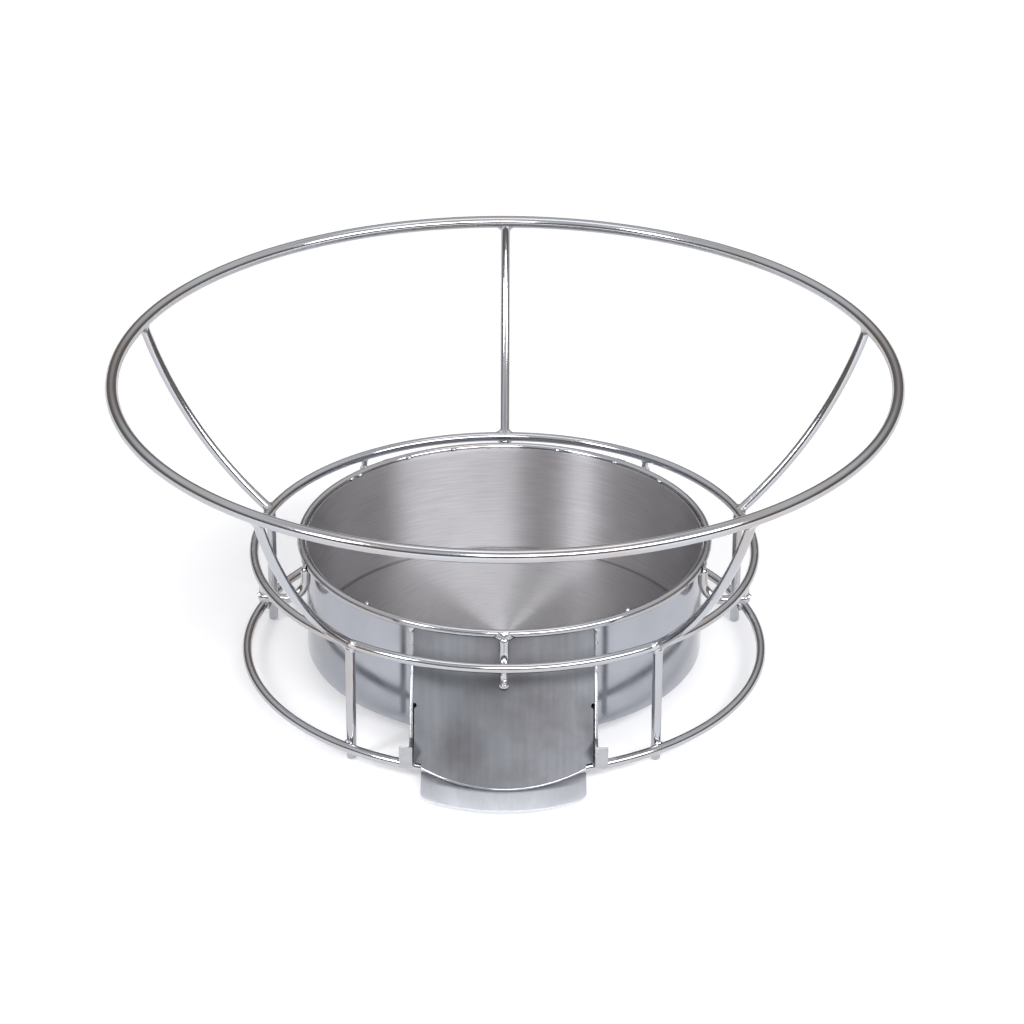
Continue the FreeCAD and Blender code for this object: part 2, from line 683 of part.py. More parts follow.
def write(items):
    os.makedirs("parts", exist_ok=True)
    for item in items:
        item.Shape.exportStep(os.path.join("parts", f"{item.Label}.step"))
        print(f"{item.Label:20s} solids {len(item.Shape.Solids)} volume {item.Shape.Volume:12.1f}")


make_rings()
make_struts()
make_legs()
make_hooks()
make_pan()
make_hood_front()
for side_name, side_sign in (("left", -1), ("right", 1)):
    make_hood_side(side_name, side_sign)
    make_runner(side_name, side_sign)
make_slide()
document.recompute()
check(sub_parts)
write(sub_parts)
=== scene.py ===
"""Wire bowl stand with a hung pan, a spout hood and a sliding outlet plate.

Laid out as an add-on and run as a script.  Metres, +Z up, spout along -Y.
"""
import functools
import math

import bmesh
import bpy
from bpy.props import FloatProperty, FloatVectorProperty, IntProperty, PointerProperty
from mathutils import Matrix, Vector, noise


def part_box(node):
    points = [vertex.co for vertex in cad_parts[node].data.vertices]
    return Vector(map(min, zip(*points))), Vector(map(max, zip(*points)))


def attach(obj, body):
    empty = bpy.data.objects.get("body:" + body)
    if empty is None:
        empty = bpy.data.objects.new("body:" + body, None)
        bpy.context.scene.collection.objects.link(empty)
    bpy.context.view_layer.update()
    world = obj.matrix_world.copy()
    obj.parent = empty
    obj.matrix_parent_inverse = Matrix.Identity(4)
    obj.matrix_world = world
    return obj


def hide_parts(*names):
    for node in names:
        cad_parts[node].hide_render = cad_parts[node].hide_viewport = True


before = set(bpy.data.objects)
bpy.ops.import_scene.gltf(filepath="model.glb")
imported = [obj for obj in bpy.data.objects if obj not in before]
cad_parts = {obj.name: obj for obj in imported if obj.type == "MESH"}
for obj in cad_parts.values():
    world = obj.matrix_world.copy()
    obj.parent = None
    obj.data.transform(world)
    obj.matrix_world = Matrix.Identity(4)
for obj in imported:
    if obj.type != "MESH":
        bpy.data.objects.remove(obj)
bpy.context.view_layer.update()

bl_info = {
    "name": "Wire Bowl Stand",
    "version": (1, 0, 0),
    "blender": (4, 5, 0),
    "location": "3D View > Sidebar > Bowl Stand",
    "description": "Builds the finished pieces of a wire bowl stand round its CAD frame",
    "category": "Object",
}

MM = 0.001
SPOUT = 270
STRUTS = {"right": 18, "back": 90, "left": 162, "front_left": 234, "front_right": 306}
HOOKS = {"front": 270, "right": 342, "back_right": 54, "back_left": 126, "left": 198}


# ---------------------------------------------------------------- helpers
def linear(hex_colour):
    """Linear RGBA of an sRGB hex colour."""
    shares = [int(hex_colour[place:place + 2], 16) / 255 for place in (0, 2, 4)]
    bent = [s / 12.92 if s <= 0.04045 else ((s + 0.055) / 1.055) ** 2.4 for s in shares]
    return (*bent, 1.0)


def add_node(tree, kind, inputs=None, **settings):
    """Add a node, set its properties, then set or link its inputs."""
    item = tree.nodes.new(kind)
    for name, value in settings.items():
        setattr(item, name, value)
    for name, value in (inputs or {}).items():
        if isinstance(value, bpy.types.NodeSocket):
            tree.links.new(value, item.inputs[name])
        else:
            item.inputs[name].default_value = value
    return item


def calc(tree, operation, *values, **settings):
    """Result of one step of arithmetic on one or two numbers."""
    inputs = dict(enumerate(values))
    return add_node(tree, "ShaderNodeMath", inputs, operation=operation, **settings).outputs[0]


def vector_calc(tree, operation, inputs, output="Vector"):
    """Result of one step of vector arithmetic."""
    return add_node(tree, "ShaderNodeVectorMath", inputs, operation=operation).outputs[output]


def scaled(tree, vector, scale):
    """A vector times a number."""
    return vector_calc(tree, "SCALE", {0: vector, "Scale": scale})


def lifted(tree, vector, height):
    """A vector with a height added to it."""
    lift = add_node(tree, "ShaderNodeCombineXYZ", {"Z": height})
    return vector_calc(tree, "ADD", {0: vector, 1: lift.outputs["Vector"]})


def height_in(tree, vector):
    """Third coordinate of a vector."""
    return add_node(tree, "ShaderNodeSeparateXYZ", {"Vector": vector}).outputs["Z"]


def cloud(tree, vector, scale, detail, roughness=0.5):
    """Noise between 0 and 1, with features of about 1/scale."""
    return add_node(tree, "ShaderNodeTexNoise", {
        "Vector": vector, "Scale": scale, "Detail": detail, "Roughness": roughness}).outputs["Fac"]


def ranged(tree, value, low, high, start=0.0, end=1.0):
    """A value that runs from start to end, brought to run from low to high."""
    return add_node(tree, "ShaderNodeMapRange", {
        "Value": value, "From Min": start, "From Max": end,
        "To Min": low, "To Max": high}).outputs["Result"]


def blend(tree, share, first, second):
    """Mix of two colours: the first at a share of 0, the second at 1."""
    return add_node(tree, "ShaderNodeMix", {
        0: share, 6: first, 7: second}, data_type="RGBA").outputs[2]


def around(radius, height, degrees):
    """Point at a radius from the axis, a height and an azimuth."""
    angle = math.radians(degrees)
    return Vector((radius * math.cos(angle), radius * math.sin(angle), height))


def outward(degrees):
    return around(1, 0, degrees)


def sideways(degrees):
    return around(1, 0, degrees + 90)


@functools.cache
def box_of(node):
    """Lowest and highest corner of a CAD node, looked up once."""
    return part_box(node)


def ring_facts(node):
    """Radius and height of a ring's centre line, and the diameter of its wire."""
    low, high = box_of(node)
    wire = high.z - low.z
    return high.x - wire / 2, (low.z + high.z) / 2, wire


def new_object(name, mesh):
    piece = bpy.data.objects.new(name, mesh)
    bpy.context.scene.collection.objects.link(piece)
    return piece


def mesh_object(name, vertices, faces, edges=()):
    mesh = bpy.data.meshes.new(name)
    mesh.from_pydata([tuple(v) for v in vertices], list(edges), faces)
    mesh.update()
    return new_object(name, mesh)


def settle(piece, smooth_angle=None):
    """Turn the modifiers' result into the piece's own mesh, facing outwards."""
    graph = bpy.context.evaluated_depsgraph_get()
    mesh = bpy.data.meshes.new_from_object(
        piece.evaluated_get(graph), preserve_all_data_layers=True, depsgraph=graph)
    mesh.name = piece.name
    piece.modifiers.clear()
    piece.data = mesh
    work = bmesh.new()
    work.from_mesh(mesh)
    bmesh.ops.recalc_face_normals(work, faces=work.faces)
    work.to_mesh(mesh)
    work.free()
    if smooth_angle is not None:
        mesh.shade_smooth()
        mesh.set_sharp_from_angle(angle=math.radians(smooth_angle))
    return piece


def place(piece, body, slot, *nodes):
    """Let a finished piece ride on its body in place of CAD nodes; the slot is not used."""
    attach(piece, body)
    if nodes:
        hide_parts(*nodes)
    return piece


def thicken(piece, thickness):
    """Give a surface the thickness of its sheet, half to either side."""
    sheet = piece.modifiers.new("Sheet", "SOLIDIFY")
    sheet.thickness = thickness
    sheet.offset = 0
    return sheet


def break_edges(piece, width, angle):
    """Round a piece's edges that are sharper than an angle."""
    bevel = piece.modifiers.new("Broken edges", "BEVEL")
    bevel.width = width
    bevel.segments = 2
    bevel.limit_method = "ANGLE"
    bevel.angle_limit = math.radians(angle)
    return bevel


def keep_cad_node(name, material, edge_round):
    """Show a CAD node with softened edges and a finish of its own."""
    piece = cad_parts[name]
    piece.data.materials.clear()
    piece.data.materials.append(material)
    weld = piece.modifiers.new("Join triangles", "WELD")
    weld.merge_threshold = 0.01 * MM
    break_edges(piece, edge_round, 35).harden_normals = True
    piece.data.shade_smooth()
    piece.data.set_sharp_from_angle(angle=math.radians(30))


# ---------------------------------------------------------------- sizes and colours
def length(name, description, millimetres):
    return FloatProperty(
        name=name, description=description, default=millimetres * MM, unit="LENGTH")


class StandSizes(bpy.types.PropertyGroup):
    wire_facets: IntProperty(
        name="Wire facets", description="Flats round a wire", default=28, min=8)
    wire_step: length("Wire step", "Length between sections along a wire", 1.2)
    end_round: length("End rounding", "Rounding of a free wire end", 2)
    wire_wave: length("Wire waviness", "How far a wire's surface wanders from round", 0.03)
    bead_rise: length("Bead rise", "How far a weld bead climbs up a wire", 3.0)
    bead_foot: length("Bead foot", "How far a weld bead spreads over the other wire", 3.6)
    pan_wall: length("Pan wall", "Sheet of the pan", 1)
    pan_corner: length("Pan corner", "Outer radius between the pan's wall and floor", 2.4)
    hood_sheet: length("Hood sheet", "Sheet of the hood's front", 1.2)
    hood_wave: length("Hood waviness", "Depth of the hand-bent hood's waves", 0.35)
    hem_width: length("Hem", "Width of the hem along the hood's lower edge", 1.5)
    edge_round: length("Broken edge", "Rounding of a cut sheet's edges", 0.25)


def colour(name, description, hex_colour):
    return FloatVectorProperty(
        name=name, description=description, size=4, min=0, max=1,
        subtype="COLOR", default=linear(hex_colour))


class StandColours(bpy.types.PropertyGroup):
    wire: colour("Wire", "Polished stainless wire", "b4b6ba")
    wire_warm: colour("Warm wire", "Second tone of the wire, in faint patches", "ab9a8d")
    weld: colour("Weld", "Weld metal", "c6c6c7")
    pan_inside: colour("Pan inside", "Brushed inside of the pan", "cac9cb")
    pan_outside: colour("Pan outside", "Rolled outside of the pan", "a8abb2")
    hood: colour("Hood", "Front of the hood", "646669")
    hood_stain: colour("Hood stain", "Darker patches on the front of the hood", "59585a")
    side: colour("Side plates", "Side plates, ears and runners", "b6b7ba")
    slide: colour("Slide plate", "Slide plate", "e1e3e6")
    floor: colour("Floor", "Studio floor", "e6e6e6")


def sizes():
    return bpy.context.scene.stand_sizes


def colours():
    return bpy.context.scene.stand_colours


# ---------------------------------------------------------------- finishes
# painted shade over the pan's floor and in its corner, and painted light that lightens the hood
# above its bend
PAN_FLOOR_PAINTED_SHADE = 0.84
PAN_CORNER_PAINTED_SHADE = 0.5
HOOD_UPRIGHT_PAINTED_LIGHT = 2.1


def empty_nodes(holder):
    """The node tree of a material or world, emptied."""
    holder.use_nodes = True
    holder.node_tree.nodes.clear()
    return holder.node_tree


def new_material(name):
    """An empty metal: its node tree, the metal's shader and the object coordinates."""
    material = bpy.data.materials.new(name)
    tree = empty_nodes(material)
    shader = add_node(tree, "ShaderNodeBsdfPrincipled", {"Metallic": 1.0})
    add_node(tree, "ShaderNodeOutputMaterial", {"Surface": shader.outputs["BSDF"]})
    place_on_piece = add_node(tree, "ShaderNodeTexCoord").outputs["Object"]
    return material, tree, shader, place_on_piece


def stretched(tree, vector, scale):
    """Coordinates stretched so that a noise of scale 1 has features of 1/scale."""
    mapping = add_node(tree, "ShaderNodeMapping", {"Vector": vector, "Scale": scale})
    return mapping.outputs["Vector"]


def dress(tree, shader, tone, dullness, height, strength, depth):
    """Give a metal its colour, its roughness and a fine relief."""
    relief = add_node(tree, "ShaderNodeBump", {
        "Strength": strength, "Distance": depth, "Height": height})
    tree.links.new(tone, shader.inputs["Base Color"])
    tree.links.new(dullness, shader.inputs["Roughness"])
    tree.links.new(relief.outputs["Normal"], shader.inputs["Normal"])


def dress_evenly(tree, shader, grain, tones, dullness, strength, depth):
    """Give a metal a colour, a roughness and a relief that all follow one noise."""
    dress(tree, shader, blend(tree, grain, *tones), ranged(tree, grain, *dullness),
          grain, strength, depth)


def polished_wire():
    """Drawn stainless wire, mechanically polished: mirror-bright, with lengthwise
    drawing lines and faint straw patches."""
    material, tree, shader, coordinates = new_material("polished_stainless_wire")
    patches = cloud(tree, coordinates, 1 / (70 * MM), 3.0)
    patch_share = ranged(tree, patches, 0.0, 0.55, start=0.48, end=0.75)
    tone = blend(tree, patch_share, colours().wire, colours().wire_warm)
    drawn = add_node(tree, "ShaderNodeAttribute", attribute_name="drawn").outputs["Vector"]
    lines = cloud(tree, drawn, 1 / (0.5 * MM), 2.0)
    dullness = ranged(tree, lines, 0.06, 0.17)
    dress(tree, shader, tone, dullness, lines, 0.25, 0.02 * MM)
    return material


def weld_metal():
    """Stainless weld metal, wire-brushed: bright, lumpy and a little duller than wire."""
    material, tree, shader, coordinates = new_material("brushed_weld_metal")
    ripples = cloud(tree, coordinates, 1 / (1.2 * MM), 3.0)
    tones = (colours().weld, colours().wire)
    dress_evenly(tree, shader, ripples, tones, (0.12, 0.34), 0.7, 0.25 * MM)
    return material


def circular_grooves(tree, coordinates, flat, reach):
    """Noise drawn out round the axis, in grooves 0.8 mm apart and about 25 mm long at the
    wall: coarser than real brushing, so that they show."""
    direction = vector_calc(tree, "NORMALIZE", {0: flat})
    along = scaled(tree, direction, 5.0)
    profile = calc(tree, "ADD", reach, height_in(tree, coordinates))
    across = calc(tree, "MULTIPLY", profile, 1 / (0.8 * MM))
    return cloud(tree, lifted(tree, along, across), 1.0, 3.0, roughness=0.65)


def painted_inside_shade(tree, coordinates, reach):
    """Share of the full tone, as painted shade: darker over the pan's floor, darkest in the corner
    where the wall meets it.
    """
    pan_low, pan_high = box_of("pan")
    radius = pan_high.x
    floor = pan_low.z + sizes().pan_wall
    height = height_in(tree, coordinates)
    near_floor = ranged(tree, height, 0.0, 1.0, start=floor + 1.6 * MM, end=floor + 0.4 * MM)
    near_wall = ranged(tree, reach, 0.0, 1.0, start=radius - 3.2 * MM, end=radius - 2 * MM)
    corner = calc(tree, "MULTIPLY", near_wall, near_floor)
    corner_painted_shade = ranged(tree, corner, 1.0, PAN_CORNER_PAINTED_SHADE)
    floor_painted_shade = ranged(tree, near_floor, 1.0, PAN_FLOOR_PAINTED_SHADE)
    return calc(tree, "MULTIPLY", floor_painted_shade, corner_painted_shade)


def brushed_inside():
    """Stainless sheet spun and brushed in circles: fine grooves run round the axis, so a
    lamp's reflection is drawn out across them, up the wall and out from the centre."""
    material, tree, shader, coordinates = new_material("circular_brushed_stainless")
    shader.inputs["Anisotropic"].default_value = 0.94
    flat = vector_calc(tree, "MULTIPLY", {0: coordinates, 1: (1, 1, 0)})
    reach = vector_calc(tree, "LENGTH", {0: flat}, output="Value")
    grooves = circular_grooves(tree, coordinates, flat, reach)
    clouds = cloud(tree, coordinates, 1 / (45 * MM), 2.0)
    tone = blend(tree, clouds, colours().pan_inside, linear("b9b7b7"))
    groove_tone = ranged(tree, grooves, 0.86, 1.08, start=0.3, end=0.7)
    # painted shade: the inside's tone is darkened over the floor and most in the corner
    grain_and_painted_shading = calc(tree, "MULTIPLY", groove_tone, painted_inside_shade(tree, coordinates, reach))
    dullness = ranged(tree, grooves, 0.4, 0.52)
    dress(tree, shader, scaled(tree, tone, grain_and_painted_shading), dullness, grooves, 0.35, 0.03 * MM)
    tangent = add_node(tree, "ShaderNodeTangent", direction_type="UV_MAP", uv_map="brush")
    tree.links.new(tangent.outputs["Tangent"], shader.inputs["Tangent"])
    return material


def rolled_outside():
    """Cold-rolled bright stainless sheet: an almost clear mirror with soft waves and
    a few hazy handling marks."""
    material, tree, shader, coordinates = new_material("rolled_bright_stainless")
    haze = cloud(tree, coordinates, 1 / (18 * MM), 4.0)
    tone = blend(tree, haze, colours().pan_outside, linear("9c9ea4"))
    dullness = ranged(tree, haze, 0.07, 0.24)
    waves = cloud(tree, coordinates, 1 / (35 * MM), 1.0)
    dress(tree, shader, tone, dullness, waves, 0.4, 0.6 * MM)
    return material


def stained_sheet():
    """Hand-bent stainless sheet, satin and stained: cloudy grey with darker patches and
    faint lengthwise rolling streaks; painted light gives a lighter tone above the bend."""
    material, tree, shader, coordinates = new_material("heat_stained_stainless")
    clouds = cloud(tree, coordinates, 1 / (38 * MM), 4.0, roughness=0.55)
    stain = ranged(tree, clouds, 0.0, 1.0, start=0.42, end=0.66)
    streak_place = stretched(tree, coordinates, (1 / (3 * MM), 1 / (60 * MM), 1 / (60 * MM)))
    streaks = cloud(tree, streak_place, 1.0, 3.0)
    tone = blend(tree, stain, colours().hood, colours().hood_stain)
    streak_tone = ranged(tree, streaks, 0.93, 1.05, start=0.3, end=0.7)
    # painted light: the upright part above the bend is lightened
    upright_painted_light = ranged(tree, height_in(tree, coordinates), 1.0, HOOD_UPRIGHT_PAINTED_LIGHT,
                          start=HOOD_BEND - 6 * MM, end=HOOD_BEND + 8 * MM)
    grain_and_painted_shading = calc(tree, "MULTIPLY", streak_tone, upright_painted_light)
    dullness = ranged(tree, clouds, 0.44, 0.6)
    dress(tree, shader, scaled(tree, tone, grain_and_painted_shading), dullness, streaks, 0.3, 0.05 * MM)
    return material


def cut_sheet():
    """Sheared and filed stainless sheet: pale, satin, with fine filing lines."""
    material, tree, shader, coordinates = new_material("filed_stainless_sheet")
    filing_place = stretched(tree, coordinates, (1 / (9 * MM), 1 / (9 * MM), 1 / (0.9 * MM)))
    filing = cloud(tree, filing_place, 1.0, 2.0)
    tones = (colours().side, linear("a4a5a8"))
    dress_evenly(tree, shader, filing, tones, (0.2, 0.38), 0.3, 0.03 * MM)
    return material


def satin_plate():
    """Satin-rolled stainless plate: pale, bluish and nearly even, with small scuffs."""
    material, tree, shader, coordinates = new_material("satin_stainless_plate")
    scuff_place = stretched(tree, coordinates, (1 / (2.5 * MM), 1 / (14 * MM), 1 / (14 * MM)))
    scuffs = cloud(tree, scuff_place, 1.0, 4.0)
    tones = (colours().slide, linear("d4d6da"))
    dress_evenly(tree, shader, scuffs, tones, (0.52, 0.66), 0.2, 0.03 * MM)
    return material


def finish_named(maker):
    """The one material that a maker gives, made when it is first asked for."""
    key = f"finish_{maker.__name__}"
    if key not in FINISHES:
        FINISHES[key] = maker()
    return FINISHES[key]


FINISHES = {}


# ---------------------------------------------------------------- wires
def new_tree(name, sockets):
    """A Geometry Nodes tree with its inputs; gives the tree and its input node."""
    tree = bpy.data.node_groups.new(name, "GeometryNodeTree")
    for socket, kind in sockets.items():
        tree.interface.new_socket(socket, in_out="INPUT", socket_type=f"NodeSocket{kind}")
    tree.interface.new_socket("Geometry", in_out="OUTPUT", socket_type="NodeSocketGeometry")
    return tree, add_node(tree, "NodeGroupInput").outputs


def stored(tree, geometry, name, value, data_type):
    """Geometry with a value stored on its points under a name."""
    return add_node(tree, "GeometryNodeStoreNamedAttribute", {
        "Geometry": geometry, "Name": name, "Value": value},
        data_type=data_type, domain="POINT").outputs["Geometry"]


def recalled(tree, name, data_type):
    """The value stored under a name."""
    return add_node(tree, "GeometryNodeInputNamedAttribute", {
        "Name": name}, data_type=data_type).outputs["Attribute"]


def uneven(tree, geometry, seed, feature, depth):
    """Geometry pushed in and out along its normals, in swellings of a feature's length."""
    swell = add_node(tree, "ShaderNodeTexNoise", {
        "W": seed, "Scale": 1 / feature, "Detail": 1.0}, noise_dimensions="4D")
    centred = calc(tree, "SUBTRACT", swell.outputs["Fac"], 0.5)
    normal = add_node(tree, "GeometryNodeInputNormal").outputs["Normal"]
    shift = scaled(tree, normal, calc(tree, "MULTIPLY", centred, depth))
    return add_node(tree, "GeometryNodeSetPosition", {
        "Geometry": geometry, "Offset": shift}).outputs["Geometry"]


def close_tree(tree, geometry, material):
    """End a tree with a smooth, real mesh in its material."""
    smooth = add_node(tree, "GeometryNodeSetShadeSmooth", {"Geometry": geometry})
    real = add_node(tree, "GeometryNodeRealizeInstances", {"Geometry": smooth.outputs["Geometry"]})
    dressed = add_node(tree, "GeometryNodeSetMaterial", {
        "Geometry": real.outputs["Geometry"], "Material": material})
    add_node(tree, "NodeGroupOutput", {"Geometry": dressed.outputs["Geometry"]})
    return tree


def end_scale(tree, here, end_rounding, half):
    """Share of the full radius at each point: less within the rounding of a free end."""
    total = add_node(tree, "GeometryNodeSplineLength").outputs["Length"]
    rest = calc(tree, "SUBTRACT", total, here)
    near = calc(tree, "MINIMUM", here, rest)
    share = calc(tree, "DIVIDE", near, end_rounding, use_clamp=True)
    far = calc(tree, "SUBTRACT", 1.0, share)
    square = calc(tree, "POWER", far, 2.0)
    height = calc(tree, "SQRT", calc(tree, "SUBTRACT", 1.0, square))
    missing = calc(tree, "SUBTRACT", 1.0, height)
    lost = calc(tree, "MULTIPLY", missing, end_rounding)
    lost_share = calc(tree, "DIVIDE", lost, half)
    return calc(tree, "SUBTRACT", 1.0, lost_share)


def round_wire_tree():
    """Round wire along a path of edges, with rounded ends and a slightly wavy surface."""
    tree, given = new_tree("Round wire", {
        "Geometry": "Geometry", "Diameter": "Float", "End Rounding": "Float",
        "Step": "Float", "Facets": "Int", "Waviness": "Float", "Seed": "Float",
        "Material": "Material"})
    curve = add_node(tree, "GeometryNodeMeshToCurve", {"Mesh": given["Geometry"]})
    even = add_node(tree, "GeometryNodeResampleCurve", {
        "Curve": curve.outputs["Curve"], "Length": given["Step"]}, mode="LENGTH")
    here = add_node(tree, "GeometryNodeSplineParameter").outputs["Length"]
    half = calc(tree, "MULTIPLY", given["Diameter"], 0.5)
    circle = add_node(tree, "GeometryNodeCurvePrimitiveCircle", {
        "Resolution": given["Facets"], "Radius": half})
    section_place = add_node(tree, "GeometryNodeInputPosition").outputs["Position"]
    skin = add_node(tree, "GeometryNodeCurveToMesh", {
        "Curve": stored(tree, even.outputs["Curve"], "along", here, "FLOAT"),
        "Profile Curve": stored(
            tree, circle.outputs["Curve"], "section", section_place, "FLOAT_VECTOR"),
        "Scale": end_scale(tree, here, given["End Rounding"], half),
        "Fill Caps": True})
    # drawing lines are forty times as long as they are wide
    slow = calc(tree, "MULTIPLY", recalled(tree, "along", "FLOAT"), 1 / 40)
    drawn = lifted(tree, recalled(tree, "section", "FLOAT_VECTOR"), slow)
    marked = stored(tree, skin.outputs["Mesh"], "drawn", drawn, "FLOAT_VECTOR")
    wavy = uneven(tree, marked, given["Seed"], 16 * MM, given["Waviness"])
    return close_tree(tree, wavy, given["Material"])


def apply_tree(piece, tree, values):
    """Run a tree on a piece with inputs by name, and keep the result as its mesh."""
    modifier = piece.modifiers.new(tree.name, "NODES")
    modifier.node_group = tree
    for socket in tree.interface.items_tree:
        if socket.in_out == "INPUT" and socket.name in values:
            modifier[socket.identifier] = values[socket.name]
    return settle(piece)


def shared_tree(maker):
    """The one node group that a maker gives, made when it is first asked for."""
    if maker.__name__ not in TREES:
        TREES[maker.__name__] = maker()
    return TREES[maker.__name__]


TREES = {}


def wire(name, points, diameter, closed=False, free_ends=False, seed=0.0, material=None):
    """A round wire through the points, as one piece."""
    count = len(points)
    edges = [(index, index + 1) for index in range(count - 1)]
    if closed:
        edges.append((count - 1, 0))
    piece = mesh_object(name, points, [], edges)
    return apply_tree(piece, shared_tree(round_wire_tree), {
        "Diameter": diameter,
        "End Rounding": sizes().end_round if free_ends else 0.0,
        "Step": sizes().wire_step,
        "Facets": sizes().wire_facets,
        "Waviness": sizes().wire_wave,
        "Seed": seed,
        "Material": material or finish_named(polished_wire),
    })


def make_rings():
    steps = 360
    for seed, node in enumerate(("top_ring", "middle_ring", "base_ring", "rim_ring")):
        radius, height, thick = ring_facts(node)
        points = [around(radius, height, 360 * step / steps) for step in range(steps)]
        ring = wire(f"{node}_wire", points, thick, closed=True, seed=float(seed))
        place(ring, "stand", "polished_wire", node)


def bowl_sphere():
    """Centre height and radius of the sphere through the top and the middle ring."""
    wide, high, _ = ring_facts("top_ring")
    narrow, low, _ = ring_facts("middle_ring")
    centre = (wide ** 2 - narrow ** 2 + high ** 2 - low ** 2) / (2 * (high - low))
    return centre, math.hypot(wide, high - centre)


def strut_points(degrees, count=40):
    """Centre line of a strut, from the middle ring up to the top ring."""
    centre, radius = bowl_sphere()
    wide, high, _ = ring_facts("top_ring")
    narrow, low, _ = ring_facts("middle_ring")
    start = math.atan2(low - centre, narrow)
    end = math.atan2(high - centre, wide)
    points = []
    for step in range(count + 1):
        angle = start + (end - start) * step / count
        points.append(around(radius * math.cos(angle), centre + radius * math.sin(angle), degrees))
    return points


def make_struts():
    _, _, thick = ring_facts("middle_ring")
    for seed, (side, degrees) in enumerate(STRUTS.items()):
        strut = wire(f"strut_{side}_wire", strut_points(degrees), thick, seed=10.0 + seed)
        place(strut, "stand", "polished_wire", f"strut_{side}")


def make_legs():
    radius, height, thick = ring_facts("middle_ring")
    for seed, (side, degrees) in enumerate(STRUTS.items()):
        points = [around(radius, 0, degrees), around(radius, height - thick / 6, degrees)]
        leg = wire(f"leg_{side}_wire", points, thick, free_ends=True, seed=20.0 + seed)
        place(leg, "stand", "polished_wire", f"leg_{side}")


# ---------------------------------------------------------------- hooks
HOOK_BEND = 12 * MM
HOOK_LOW = 65 * MM
HOOK_RISE = 14
HOOK_OVERHANG = 2.6 * MM
FRONT_OVERHANG = 5 * MM
HOOK_OFFSET = 1.8 * MM
NUGGET_RADIUS = 2 * MM


def hook_line(overhang=HOOK_OVERHANG):
    """Centre line of a hook as radius and height: down, round the bend and out."""
    rim_radius, rim_height, rim_wire = ring_facts("rim_ring")
    middle_radius, _, _ = ring_facts("middle_ring")
    start = rim_radius + HOOK_OFFSET
    line = [(start, rim_height - rim_wire / 4)]
    centre = (start + HOOK_BEND, HOOK_LOW + HOOK_BEND)
    turn = 90 + HOOK_RISE
    steps = 24
    for step in range(steps + 1):
        angle = math.radians(180 + turn * step / steps)
        radius = centre[0] + HOOK_BEND * math.cos(angle)
        line.append((radius, centre[1] + HOOK_BEND * math.sin(angle)))
    tip = middle_radius + overhang
    line.append((tip, line[-1][1] + (tip - line[-1][0]) * math.tan(math.radians(HOOK_RISE))))
    return line


def make_hooks():
    _, _, thick = ring_facts("middle_ring")
    for seed, (side, degrees) in enumerate(HOOKS.items()):
        overhang = FRONT_OVERHANG if side == "front" else HOOK_OVERHANG
        points = [around(radius, height, degrees) for radius, height in hook_line(overhang)]
        hook = wire(f"hook_{side}_wire", points, thick, free_ends=True, seed=30.0 + seed)
        place(hook, "stand", "polished_wire", f"hook_{side}")


# ---------------------------------------------------------------- welds
DOWN = Vector((0, 0, -1))
SUNK = 0.25 * MM
COLLAR_STEPS = 36
FILLET_STEPS = 7
COLLAR_UNEVEN = 0.45
LUMP_STEPS = 24
LUMP_UNEVEN = 0.22
LEG_WELD = (3.3 * MM, 1.9 * MM, 3.3 * MM)
RIM_BEAD = {"rise": 3.0 * MM, "foot": 3.2 * MM}
NUGGET_BEAD = {"rise": 2.2 * MM, "foot": 1.4 * MM}
TACKS = (142, 138.5, 120, 105.5, 74, 55, 37, 307, 228)
TACK_SHAPE = (1.0, 1.3, 0.8)
SIDE_TACK_SHAPE = (1.5, 1.5, 2.4)
TACK_WIDTH = 3.0 * MM
TACK_OFFSET = 0.8 * MM
TACK_INSET = 0.5 * MM
SIDE_TACK_OUT = 1 * MM
SIDE_TACK_FORWARD = 1.4 * MM


class Beads:
    """Gathers weld beads into one mesh."""

    def __init__(self):
        self.vertices = []
        self.faces = []

    def add(self, rows):
        """Join closed rows of points into a tube that closes on itself."""
        base = len(self.vertices)
        count, length = len(rows), len(rows[0])
        for row in rows:
            self.vertices.extend(row)
        for one in range(count):
            two = (one + 1) % count
            for here in range(length):
                there = (here + 1) % length
                self.faces.append((base + one * length + here, base + one * length + there,
                                   base + two * length + there, base + two * length + here))

    def piece(self, name):
        bead = mesh_object(name, self.vertices, self.faces)
        bead.data.materials.append(finish_named(weld_metal))
        settle(bead, smooth_angle=70)
        return bead


